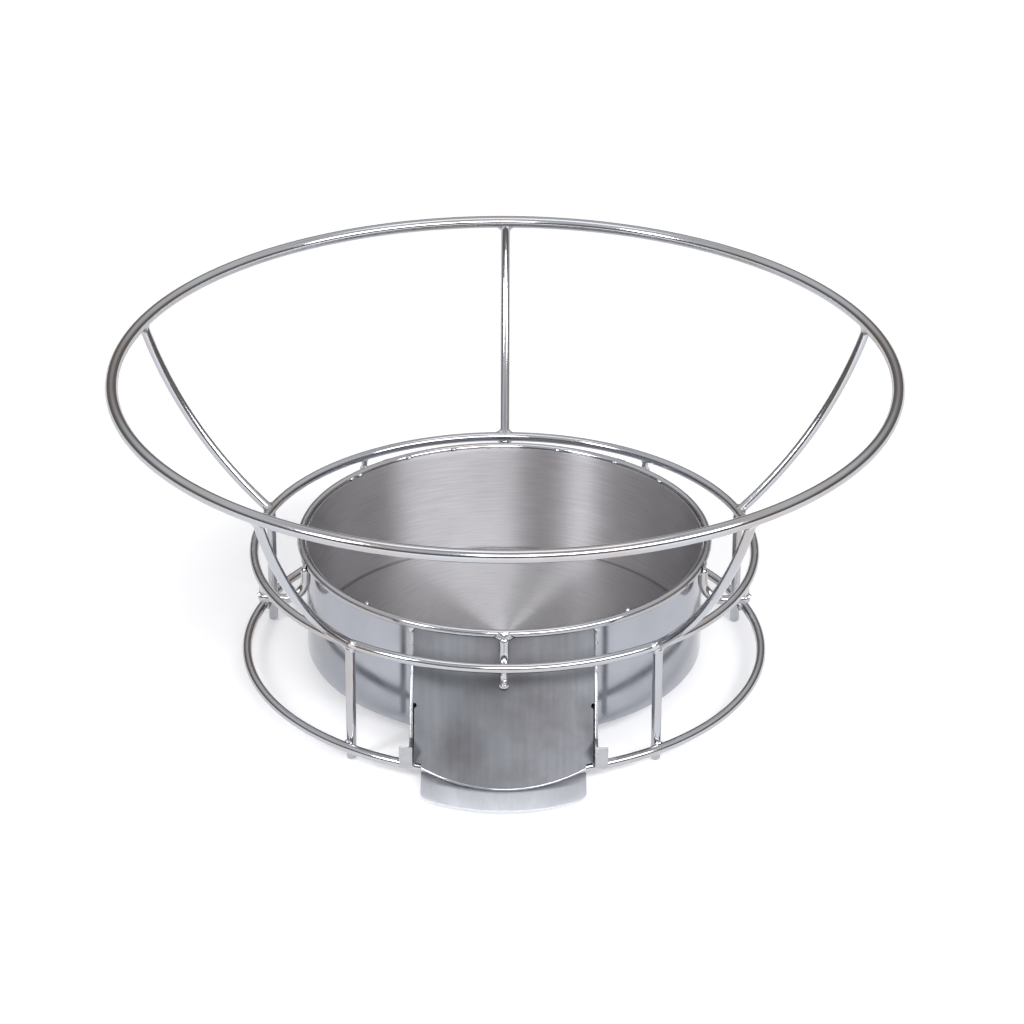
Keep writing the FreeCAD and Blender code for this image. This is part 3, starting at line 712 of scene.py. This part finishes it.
def collar(beads, origin, axis, along, post, ring, seed, rise=None, foot=None):
    """A fillet of weld metal where a wire of radius post, running along axis, ends on a
    wire of radius ring that runs along its own direction through the origin."""
    rise = rise or sizes().bead_rise
    foot = foot or sizes().bead_foot
    axis = axis.normalized()
    along = (along - axis * along.dot(axis)).normalized()
    side = axis.cross(along)
    rows = []
    for step in range(COLLAR_STEPS):
        angle = 2 * math.pi * step / COLLAR_STEPS
        c, s = math.cos(angle), math.sin(angle)
        wander = noise.noise(Vector((2.2 * c, 2.2 * s, seed * 1.7)))
        wander_foot = noise.noise(Vector((2.6 * c, 2.6 * s, seed * 1.7 + 9)))
        climb = rise * (1 + COLLAR_UNEVEN * wander)
        spread = foot * (1 + COLLAR_UNEVEN * wander_foot)
        lean = max(-1.0, min(1.0, post * s / ring))
        saddle = math.sqrt(max(ring ** 2 - (post * s) ** 2, 0.0))
        turn = math.asin(lean) + s * spread / ring
        inner = post - SUNK
        under = ring - SUNK
        top = Vector((inner * c, inner * s, saddle + climb))
        end = Vector(((post + spread) * c, under * math.sin(turn), under * math.cos(turn)))
        corner = Vector((post * c, post * s, saddle))
        pull = corner.lerp((top + end) / 2, 0.42)
        row = []
        for part in range(FILLET_STEPS + 1):
            t = part / FILLET_STEPS
            row.append(top * (1 - t) ** 2 + pull * 2 * t * (1 - t) + end * t ** 2)
        row.append(Vector((inner * c, inner * s, saddle - SUNK)))
        rows.append([origin + along * p.x + side * p.y + axis * p.z for p in row])
    beads.add(rows)


def lump(beads, centre, degrees, radii, seed):
    """A rounded blob of weld metal with its radii sideways, outward and upward."""
    axes = (sideways(degrees), outward(degrees), Vector((0, 0, 1)))
    rows = []
    for step in range(LUMP_STEPS):
        angle = 2 * math.pi * step / LUMP_STEPS
        row = []
        for part in range(13):
            # the first and the last point stand a little off the blob's poles
            lean = math.pi * (part + 0.02) / 12.04
            p = Vector((math.sin(lean) * math.cos(angle),
                        math.sin(lean) * math.sin(angle), math.cos(lean)))
            swell = 1 + LUMP_UNEVEN * noise.noise(p * 1.6 + Vector((seed * 3.1, 0, 0)))
            parts = (axis * (q * r * swell) for axis, q, r in zip(axes, p, radii))
            row.append(centre + sum(parts, Vector()))
        rows.append(row)
    beads.add(rows)


def make_frame_welds():
    """Beads where struts and legs meet the rings."""
    beads = Beads()
    _, _, top_wire = ring_facts("top_ring")
    radius, height, thick = ring_facts("middle_ring")
    base_radius, base_height, _ = ring_facts("base_ring")
    post = thick / 2
    for seed, degrees in enumerate(STRUTS.values()):
        line = strut_points(degrees)
        along = sideways(degrees)
        on_ring = around(radius, height, degrees)
        collar(beads, line[-1], line[-2] - line[-1], along, post, top_wire / 2, seed)
        collar(beads, line[0], line[1] - line[0], along, post, post, seed + 10)
        collar(beads, on_ring, DOWN, along, post, post, seed + 20)
        contact = around((radius + base_radius) / 2, base_height, degrees)
        lump(beads, contact, degrees, LEG_WELD, seed)
    place(beads.piece("frame_weld_beads"), "stand", "weld_metal")


def make_hook_welds():
    """Fillets at the hooks' tops, and the nuggets between hooks and middle ring."""
    beads = Beads()
    rim_radius, rim_height, rim_wire = ring_facts("rim_ring")
    radius, height, thick = ring_facts("middle_ring")
    post = thick / 2
    line = hook_line()
    slope = math.tan(math.radians(HOOK_RISE))
    under = line[-1][1] - (line[-1][0] - radius) * slope
    for seed, degrees in enumerate(HOOKS.values()):
        along = sideways(degrees)
        top = around(rim_radius + HOOK_OFFSET / 2, rim_height, degrees)
        on_ring = around(radius, height, degrees)
        on_hook = around(radius, under, degrees)
        hook_way = (outward(degrees) + Vector((0, 0, slope))).normalized()
        collar(beads, top, DOWN, along, post - 0.1 * MM, rim_wire / 2, seed + 40, **RIM_BEAD)
        collar(beads, on_ring, DOWN, along, NUGGET_RADIUS, post, seed + 50, **NUGGET_BEAD)
        collar(beads, on_hook, -DOWN, hook_way, NUGGET_RADIUS, post, seed + 60, **NUGGET_BEAD)
        nugget = (NUGGET_RADIUS, NUGGET_RADIUS, (height - under) / 2)
        lump(beads, (on_ring + on_hook) / 2, degrees, nugget, seed + 5)
    place(beads.piece("hook_weld_beads"), "stand", "weld_metal", "hook_welds")


def tack_tree():
    """A small lump of weld metal on each point, turned along the point's own axis."""
    tree, given = new_tree("Tack welds", {
        "Geometry": "Geometry", "Width": "Float", "Lumpiness": "Float", "Seed": "Float",
        "Material": "Material"})
    points = add_node(tree, "GeometryNodeMeshToPoints", {"Mesh": given["Geometry"]})
    ball = add_node(tree, "GeometryNodeMeshIcoSphere", {"Radius": 0.5, "Subdivisions": 3})
    turn = add_node(tree, "FunctionNodeAlignRotationToVector", {
        "Vector": recalled(tree, "facing", "FLOAT_VECTOR")}, axis="X", pivot_axis="Z")
    copies = add_node(tree, "GeometryNodeInstanceOnPoints", {
        "Points": points.outputs["Points"], "Instance": ball.outputs["Mesh"],
        "Rotation": turn.outputs["Rotation"],
        "Scale": scaled(tree, recalled(tree, "size", "FLOAT_VECTOR"), given["Width"])})
    real = add_node(tree, "GeometryNodeRealizeInstances", {
        "Geometry": copies.outputs["Instances"]})
    lumpy = uneven(tree, real.outputs["Geometry"], given["Seed"], 1.6 * MM, given["Lumpiness"])
    return close_tree(tree, lumpy, given["Material"])


def tack_spots():
    """Place, direction and relative size of each tack weld."""
    rim_radius, _, rim_wire = ring_facts("rim_ring")
    _, pan_high = box_of("pan")
    _, side_high = box_of("hood_side_left")
    edge = rim_radius - rim_wire / 2
    height = pan_high.z + TACK_OFFSET
    spots = [(around(edge - TACK_INSET, height, degrees), outward(degrees), TACK_SHAPE)
             for degrees in TACKS]
    half = abs(side_high.x) + SIDE_TACK_OUT
    reach = math.sqrt(edge ** 2 - half ** 2) + SIDE_TACK_FORWARD
    for side in (-1, 1):
        spot = Vector((side * half, -reach, side_high.z - TACK_OFFSET))
        spots.append((spot, Vector((0, -1, 0)), SIDE_TACK_SHAPE))
    return spots


def make_tacks():
    """Tack welds that hold the pan in the rim ring and the hood's sides to the rim."""
    spots = tack_spots()
    piece = mesh_object("rim_tack_welds", [spot for spot, _, _ in spots], [])
    facing = piece.data.attributes.new("facing", "FLOAT_VECTOR", "POINT")
    size = piece.data.attributes.new("size", "FLOAT_VECTOR", "POINT")
    for index, (_, way, share) in enumerate(spots):
        facing.data[index].vector = way
        size.data[index].vector = share
    apply_tree(piece, tack_tree(), {
        "Width": TACK_WIDTH, "Lumpiness": TACK_WIDTH / 5, "Seed": 3.0,
        "Material": finish_named(weld_metal)})
    place(piece, "stand", "weld_metal")


# ---------------------------------------------------------------- pan
PAN_COLUMNS = 240
WINDOW_COLUMNS = 24
WINDOW_ROWS = 10
WINDOW_INSET = 8.5 * MM
WINDOW_SILL = 19 * MM
WINDOW_HEAD = 60 * MM
DENT_LENGTH = 45 * MM
DENT_DEPTH = 0.25 * MM
DENT_FADE = 8 * MM


def pan_profile():
    """Middle of the pan's sheet, from the floor's centre up to the edge, and the rows
    between which the window lies."""
    low, high = box_of("pan")
    wall = sizes().pan_wall
    radius = high.x - wall / 2
    floor = low.z + wall / 2
    corner = sizes().pan_corner - wall / 2
    floor_steps, corner_steps, rim_steps = 30, 8, 8
    reaches = [radius * step / floor_steps for step in range(1, floor_steps)]
    line = [(reach, floor) for reach in reaches if reach < radius - corner]
    for step in range(corner_steps + 1):
        angle = math.radians(90 * step / corner_steps)
        line.append((radius - corner + corner * math.sin(angle),
                     floor + corner * (1 - math.cos(angle))))
    sill_row = len(line)
    line.append((radius, WINDOW_SILL))
    for start, end, steps in ((WINDOW_SILL, WINDOW_HEAD, WINDOW_ROWS),
                              (WINDOW_HEAD, high.z, rim_steps)):
        line += [(radius, start + (end - start) * step / steps) for step in range(1, steps + 1)]
    return line, sill_row, sill_row + WINDOW_ROWS


def pan_columns(radius):
    """Azimuths of the pan's columns, two of which stand at the window's sides."""
    half = hood_half() - WINDOW_INSET
    side = math.degrees(math.asin(half / radius))
    outside = PAN_COLUMNS - WINDOW_COLUMNS
    angles = [SPOUT - side + 2 * side * step / WINDOW_COLUMNS for step in range(WINDOW_COLUMNS)]
    angles += [SPOUT + side + (360 - 2 * side) * step / outside for step in range(outside)]
    return angles


def pan_vertices(line, angles):
    """Points of the sheet, slightly dented away from its edge, with the centre first."""
    floor = line[0][1]
    edge = line[-1][1]
    vertices = [Vector((0, 0, floor))]
    for radius, height in line:
        upright = height > floor + sizes().pan_corner / 2
        for degrees in angles:
            point = around(radius, height, degrees)
            dent = noise.noise(point / DENT_LENGTH) * DENT_DEPTH
            push = outward(degrees) if upright else Vector((0, 0, 1))
            vertices.append(point + push * dent * min(1, abs(height - edge) / DENT_FADE))
    return vertices


def pan_faces(rows, count, sill_row, head_row):
    """Faces of the sheet, with the window left open."""
    faces = [(0, 1 + column, 1 + (column + 1) % count) for column in range(count)]
    for row in range(rows - 1):
        for column in range(count):
            if sill_row <= row < head_row and column < WINDOW_COLUMNS:
                continue
            here = 1 + row * count
            after = (column + 1) % count
            faces.append((here + column, here + count + column,
                          here + count + after, here + after))
    return faces


def face_upwards(mesh, floor):
    """Turn the sheet's faces so that its floor faces up."""
    work = bmesh.new()
    work.from_mesh(mesh)
    bmesh.ops.recalc_face_normals(work, faces=work.faces)
    on_floor = next(face for face in work.faces
                    if face.calc_center_median().z < floor + 0.2 * MM)
    if on_floor.normal.z < 0:
        bmesh.ops.reverse_faces(work, faces=work.faces)
    work.to_mesh(mesh)
    work.free()


def make_pan():
    line, sill_row, head_row = pan_profile()
    angles = pan_columns(line[-1][0])
    vertices = pan_vertices(line, angles)
    faces = pan_faces(len(line), len(angles), sill_row, head_row)
    pan = mesh_object("pan_sheet", vertices, faces)
    lay_brush_map(pan, line, angles)
    pan.data.materials.append(finish_named(brushed_inside))
    pan.data.materials.append(finish_named(rolled_outside))
    face_upwards(pan.data, line[0][1])
    wall = thicken(pan, sizes().pan_wall)
    wall.use_even_offset = True
    wall.material_offset = 1
    wall.material_offset_rim = 1
    break_edges(pan, sizes().edge_round, 50)
    settle(pan, smooth_angle=40)
    place(pan, "stand", "brushed_pan", "pan")


def lay_brush_map(pan, line, angles):
    """UV map whose first axis runs across the brushing: outwards over the floor and up
    the wall."""
    count = len(angles)
    reach = line[-1][0]
    layer = pan.data.uv_layers.new(name="brush")
    for face in pan.data.polygons:
        columns = [(index - 1) % count for index in face.vertices if index > 0]
        wraps = max(columns) - min(columns) > count / 2
        for loop in face.loop_indices:
            index = pan.data.loops[loop].vertex_index
            if index == 0:
                column, row = min(columns) + 0.5, -1
            else:
                column, row = (index - 1) % count, (index - 1) // count
            if wraps and column < count / 2:
                column += count
            run = 0.0 if row < 0 else line[row][0] + line[row][1]
            layer.data[loop].uv = (run / reach, column / count)


# ---------------------------------------------------------------- hood
HOOD_BEND = 64 * MM
HOOD_BOW = 102 * MM
HOOD_REACH = 177 * MM
HOOD_SIDE_GAP = 0.2 * MM
APRON_ARC = 255 * MM
APRON_INSET = 5.5 * MM
SLIT_WIDTH = 1 * MM
RELIEF_HEIGHT = 41 * MM
RELIEF_HOLE = 2.4 * MM
BEND_SOFTNESS = 0.06
HEM_RISE = 0.3
RING_CLEARANCE = 0.6 * MM
HOOD_WAVE_LENGTH = 32 * MM
HOOD_WAVE_FADE = 6 * MM
APRON_ROWS = 4
SLIT_ROWS = 14
UPPER_ROWS = 22


def hood_half():
    """Half the width between the hood's side plates."""
    _, high = box_of("hood_side_left")
    return abs(high.x)


def hood_depth(across, height):
    """Distance of the front's outer face from the axis plane."""
    _, pan_high = box_of("pan")
    upright = pan_high.x + HOOD_SIDE_GAP + sizes().hood_sheet
    upper = math.sqrt(upright ** 2 - across ** 2)
    lower = HOOD_REACH - HOOD_BOW + math.sqrt(HOOD_BOW ** 2 - across ** 2)
    low, _ = box_of("hood_front")
    share = (HOOD_BEND - height) / (HOOD_BEND - low.z)
    # a soft bend in place of a sharp one, a few millimetres long
    eased = 0.5 * (share + math.sqrt(share ** 2 + BEND_SOFTNESS ** 2))
    eased -= 0.5 * (math.sqrt(1 + BEND_SOFTNESS ** 2) - 1)
    return upper + (lower - upper) * eased


def apron_edge(across):
    """Height of the front's lower edge."""
    low, _ = box_of("hood_front")
    return low.z + APRON_ARC - math.sqrt(APRON_ARC ** 2 - across ** 2)


def hood_middle(across, height):
    """Point in the middle of the front's sheet."""
    return Vector((across, -(hood_depth(across, height) - sizes().hood_sheet / 2), height))


def hood_columns():
    """Distances of the front's columns from its middle, with one at each slit's sides."""
    half = hood_half()
    apron = half - APRON_INSET
    slit = half - SLIT_WIDTH
    edge = half - HOOD_SIDE_GAP
    between = (slit + apron) / 2
    middle = [apron * (step / 24 - 1) for step in range(49)]
    return [-edge, -slit, -between, *middle, between, slit, edge], apron, slit, edge


def hood_rows():
    """Heights of the front's rows above the base ring, and the row at the relief holes."""
    _, high = box_of("hood_front")
    _, ring_top = box_of("base_ring")
    start = ring_top.z + RING_CLEARANCE
    lower = [start + (RELIEF_HEIGHT - start) * step / SLIT_ROWS for step in range(SLIT_ROWS + 1)]
    upper = [RELIEF_HEIGHT + (high.z - RELIEF_HEIGHT) * step / UPPER_ROWS
             for step in range(1, UPPER_ROWS + 1)]
    return lower + upper, SLIT_ROWS


def hood_mesh(columns, apron, slit, edge):
    """The front's middle surface, with a slit at each side below the relief holes. The
    apron's rows are numbered below 0."""
    heights, relief_row = hood_rows()
    vertices, index_of = [], {}

    def point(column, row):
        """Index of the vertex at a column and row."""
        key = (column, row)
        if key not in index_of:
            across = columns[column]
            height = heights[max(row, 0)]
            if row < 0:
                height += (apron_edge(across) - height) * -row / APRON_ROWS
            spot = hood_middle(across, height)
            fade = min(1, (edge - abs(across)) / HOOD_WAVE_FADE)
            spot.y += noise.noise(spot / HOOD_WAVE_LENGTH) * sizes().hood_wave * fade
            index_of[key] = len(vertices)
            vertices.append(spot)
        return index_of[key]

    faces = []
    for column in range(len(columns) - 1):
        outer = min(abs(columns[column]), abs(columns[column + 1]))
        widest = max(abs(columns[column]), abs(columns[column + 1]))
        first = -APRON_ROWS if widest <= apron + 1e-6 else 0
        if outer >= slit - 1e-6:
            first = relief_row
        for row in range(first, len(heights) - 1):
            faces.append((point(column, row), point(column + 1, row),
                          point(column + 1, row + 1), point(column, row + 1)))
    return mesh_object("hood_front_sheet", vertices, faces)


def make_hood_front():
    columns, apron, slit, edge = hood_columns()
    hood = hood_mesh(columns, apron, slit, edge)
    hood.data.materials.append(finish_named(stained_sheet))
    thicken(hood, sizes().hood_sheet)
    drills = relief_drills(slit)
    holes = hood.modifiers.new("Relief holes", "BOOLEAN")
    holes.operation = "DIFFERENCE"
    holes.solver = "FAST"
    holes.object = drills
    settle(hood, smooth_angle=35)
    bpy.data.objects.remove(drills)
    place(hood, "stand", "hood_sheet", "hood_front")
    make_hem(apron)


def relief_drills(slit):
    """Cutters for the two relief holes, as one object."""
    radius = RELIEF_HOLE / 2
    depth = hood_depth(slit, RELIEF_HEIGHT)
    work = bmesh.new()
    for side in (-1, 1):
        centre = Matrix.Translation((side * slit, -depth, RELIEF_HEIGHT))
        bmesh.ops.create_cone(
            work, cap_ends=True, segments=24, radius1=radius, radius2=radius,
            depth=12 * MM, matrix=centre @ Matrix.Rotation(math.pi / 2, 4, "X"))
    mesh = bpy.data.meshes.new("drills")
    work.to_mesh(mesh)
    work.free()
    drills = new_object("drills", mesh)
    drills.hide_render = True
    return drills


def make_hem(apron):
    """Rolled hem along the front's curved lower edge."""
    width = sizes().hem_width
    points = []
    for step in range(61):
        across = apron * (step / 30 - 1)
        points.append(hood_middle(across, apron_edge(across) + width * HEM_RISE))
    hem = wire("hood_hem", points, width, seed=50.0)
    place(hem, "stand", "hood_sheet")


def make_hood_sides():
    edge_round = sizes().edge_round
    for side in ("left", "right"):
        keep_cad_node(f"hood_side_{side}", finish_named(cut_sheet), 2 * edge_round)
        keep_cad_node(f"runner_{side}", finish_named(cut_sheet), edge_round)


def make_slide():
    keep_cad_node("slide_plate", finish_named(satin_plate), sizes().edge_round)


# ---------------------------------------------------------------- stage
WHITE = (1, 1, 1, 1)
SURROUNDINGS = (
    (0.0, "857d77"), (0.18, "7d7671"), (0.36, "8b8682"), (0.48, "cfcfd1"),
    (0.62, "f0f0f2"), (0.8, "f0f0f2"), (0.92, "cacacc"), (1.0, "bebec0"),
)
AIM = Vector((0, 0, 0.1))
LAMPS = {
    "overhead_box": {"spot": (0.0, 0.2, 2.2), "width": 1.4, "height": 1.0, "power": 7},
    "front_box": {"spot": (0.08, -1.95, 1.5), "width": 0.8, "height": 0.7, "power": 18},
    "left_box": {"spot": (-1.5, -1.26, 1.5), "width": 0.5, "height": 0.7, "power": 20},
    "right_box": {"spot": (1.3, -1.46, 1.5), "width": 1.9, "height": 0.7, "power": 42},
}
CAMERA_SPOT = (0, -2.145, 1.1993)
CAMERA_LENS = 135.85
CAMERA_PITCH = 27.068
CAMERA_YAW = 0.124
CAMERA_ROLL = 0.27


def seen_share(tree):
    """1 for rays from the camera and for reflected and transmitted ones, else 0; and 1
    for rays from the camera alone."""
    path = add_node(tree, "ShaderNodeLightPath").outputs
    reflected = calc(tree, "MAXIMUM", path["Is Camera Ray"], path["Is Glossy Ray"])
    return calc(tree, "MAXIMUM", reflected, path["Is Transmission Ray"]), path["Is Camera Ray"]


def make_floor():
    """A wide pale floor that shows nearly white and keeps the stand's shadow."""
    half = 6.0
    corners = [(-half, -half, 0), (half, -half, 0), (half, half, 0), (-half, half, 0)]
    floor = mesh_object("studio_floor", corners, [(0, 1, 2, 3)])
    material = bpy.data.materials.new("matt_white_paper")
    tree = empty_nodes(material)
    seen, _ = seen_share(tree)
    # the far floor is out of the lamps' reach, so it glows more
    place_on_floor = add_node(tree, "ShaderNodeTexCoord").outputs["Object"]
    distance = vector_calc(tree, "LENGTH", {0: place_on_floor}, output="Value")
    glow_share = ranged(tree, distance, 0.36, 0.86, start=0.5, end=2.4)
    glow = add_node(tree, "ShaderNodeEmission", {
        "Color": WHITE, "Strength": calc(tree, "MULTIPLY", seen, glow_share)})
    paper = add_node(tree, "ShaderNodeBsdfDiffuse", {"Color": colours().floor})
    both = add_node(tree, "ShaderNodeAddShader", {
        0: glow.outputs["Emission"], 1: paper.outputs["BSDF"]})
    add_node(tree, "ShaderNodeOutputMaterial", {"Surface": both.outputs["Shader"]})
    floor.data.materials.append(material)


def make_world():
    """White to the camera. Reflections see grey near the horizon, near-white half way up
    and pale grey overhead, and other rays see an even grey."""
    world = bpy.data.worlds.new("studio")
    bpy.context.scene.world = world
    tree = empty_nodes(world)
    seen, from_camera = seen_share(tree)
    direction = add_node(tree, "ShaderNodeTexCoord").outputs["Generated"]
    ramp = add_node(tree, "ShaderNodeValToRGB", {"Fac": height_in(tree, direction)})
    elements = ramp.color_ramp.elements
    while len(elements) < len(SURROUNDINGS):
        elements.new(0.5)
    for element, (position, hex_colour) in zip(elements, SURROUNDINGS):
        element.position = position
        element.color = linear(hex_colour)
    backdrop = blend(tree, from_camera, ramp.outputs["Color"], WHITE)
    shade = blend(tree, seen, linear("848484"), backdrop)
    background = add_node(tree, "ShaderNodeBackground", {"Color": shade})
    add_node(tree, "ShaderNodeOutputWorld", {"Surface": background.outputs["Background"]})


def make_lamp(name, spot, width, height, power):
    """A soft box that faces the stand."""
    lamp = bpy.data.lights.new(name, "AREA")
    lamp.shape = "RECTANGLE"
    lamp.size = width
    lamp.size_y = height
    lamp.energy = power
    lamp.color = linear("fafaff")[:3]
    light = new_object(name, lamp)
    light.location = spot
    light.rotation_euler = (AIM - Vector(spot)).to_track_quat("-Z", "Y").to_euler()


def make_camera():
    camera = bpy.data.cameras.new("camera")
    camera.lens = CAMERA_LENS
    camera.sensor_width = 36
    holder = new_object("camera", camera)
    pitch, yaw = math.radians(CAMERA_PITCH), math.radians(CAMERA_YAW)
    forward = Vector((math.sin(yaw) * math.cos(pitch),
                      math.cos(yaw) * math.cos(pitch), -math.sin(pitch)))
    level = forward.to_track_quat("-Z", "Y").to_matrix().to_4x4()
    roll = Matrix.Rotation(math.radians(CAMERA_ROLL), 4, "Z")
    holder.matrix_world = Matrix.Translation(CAMERA_SPOT) @ level @ roll
    bpy.context.scene.camera = holder


def make_stage():
    make_floor()
    make_world()
    for name, settings in LAMPS.items():
        make_lamp(name, **settings)
    make_camera()
    bpy.context.scene.view_settings.view_transform = "Standard"


# ---------------------------------------------------------------- operators
class STAND_OT_rings(bpy.types.Operator):
    """Make the four wire rings"""
    bl_idname = "stand.make_rings"
    bl_label = "Rings"

    def execute(self, context):
        make_rings()
        return {"FINISHED"}


class STAND_OT_struts(bpy.types.Operator):
    """Make the five bowed struts and the five legs"""
    bl_idname = "stand.make_struts"
    bl_label = "Struts and Legs"

    def execute(self, context):
        make_struts()
        make_legs()
        return {"FINISHED"}


class STAND_OT_hooks(bpy.types.Operator):
    """Make the five hooks that carry the rim ring"""
    bl_idname = "stand.make_hooks"
    bl_label = "Hooks"

    def execute(self, context):
        make_hooks()
        return {"FINISHED"}


class STAND_OT_welds(bpy.types.Operator):
    """Make the weld beads, nuggets and tacks"""
    bl_idname = "stand.make_welds"
    bl_label = "Welds"

    def execute(self, context):
        make_frame_welds()
        make_hook_welds()
        make_tacks()
        return {"FINISHED"}


class STAND_OT_pan(bpy.types.Operator):
    """Make the brushed pan with its outlet window"""
    bl_idname = "stand.make_pan"
    bl_label = "Pan"

    def execute(self, context):
        make_pan()
        return {"FINISHED"}


class STAND_OT_hood(bpy.types.Operator):
    """Make the hood's front with its hem, and finish its side plates and runners"""
    bl_idname = "stand.make_hood"
    bl_label = "Hood"

    def execute(self, context):
        make_hood_front()
        make_hood_sides()
        return {"FINISHED"}


class STAND_OT_slide(bpy.types.Operator):
    """Finish the slide plate"""
    bl_idname = "stand.make_slide"
    bl_label = "Slide Plate"

    def execute(self, context):
        make_slide()
        return {"FINISHED"}


class STAND_OT_stage(bpy.types.Operator):
    """Make the floor, the studio light and the camera"""
    bl_idname = "stand.make_stage"
    bl_label = "Stage"

    def execute(self, context):
        make_stage()
        return {"FINISHED"}


OPERATORS = (
    STAND_OT_rings, STAND_OT_struts, STAND_OT_hooks, STAND_OT_welds,
    STAND_OT_pan, STAND_OT_hood, STAND_OT_slide, STAND_OT_stage,
)


class STAND_PT_pieces(bpy.types.Panel):
    """Lists the pieces of the stand"""
    bl_idname = "STAND_PT_pieces"
    bl_label = "Bowl Stand"
    bl_space_type = "VIEW_3D"
    bl_region_type = "UI"
    bl_category = "Bowl Stand"

    def draw(self, context):
        for operator in OPERATORS:
            self.layout.operator(operator.bl_idname)
        for group in (context.scene.stand_sizes, context.scene.stand_colours):
            box = self.layout.box()
            for name in group.__annotations__:
                box.prop(group, name)


CLASSES = (StandSizes, StandColours, *OPERATORS, STAND_PT_pieces)


def register():
    for item in CLASSES:
        bpy.utils.register_class(item)
    bpy.types.Scene.stand_sizes = PointerProperty(type=StandSizes)
    bpy.types.Scene.stand_colours = PointerProperty(type=StandColours)


def unregister():
    del bpy.types.Scene.stand_colours
    del bpy.types.Scene.stand_sizes
    for item in reversed(CLASSES):
        bpy.utils.unregister_class(item)


def main():
    register()
    for operator in OPERATORS:
        group, name = operator.bl_idname.split(".")
        getattr(getattr(bpy.ops, group), name)()


if __name__ == "__main__":
    main()
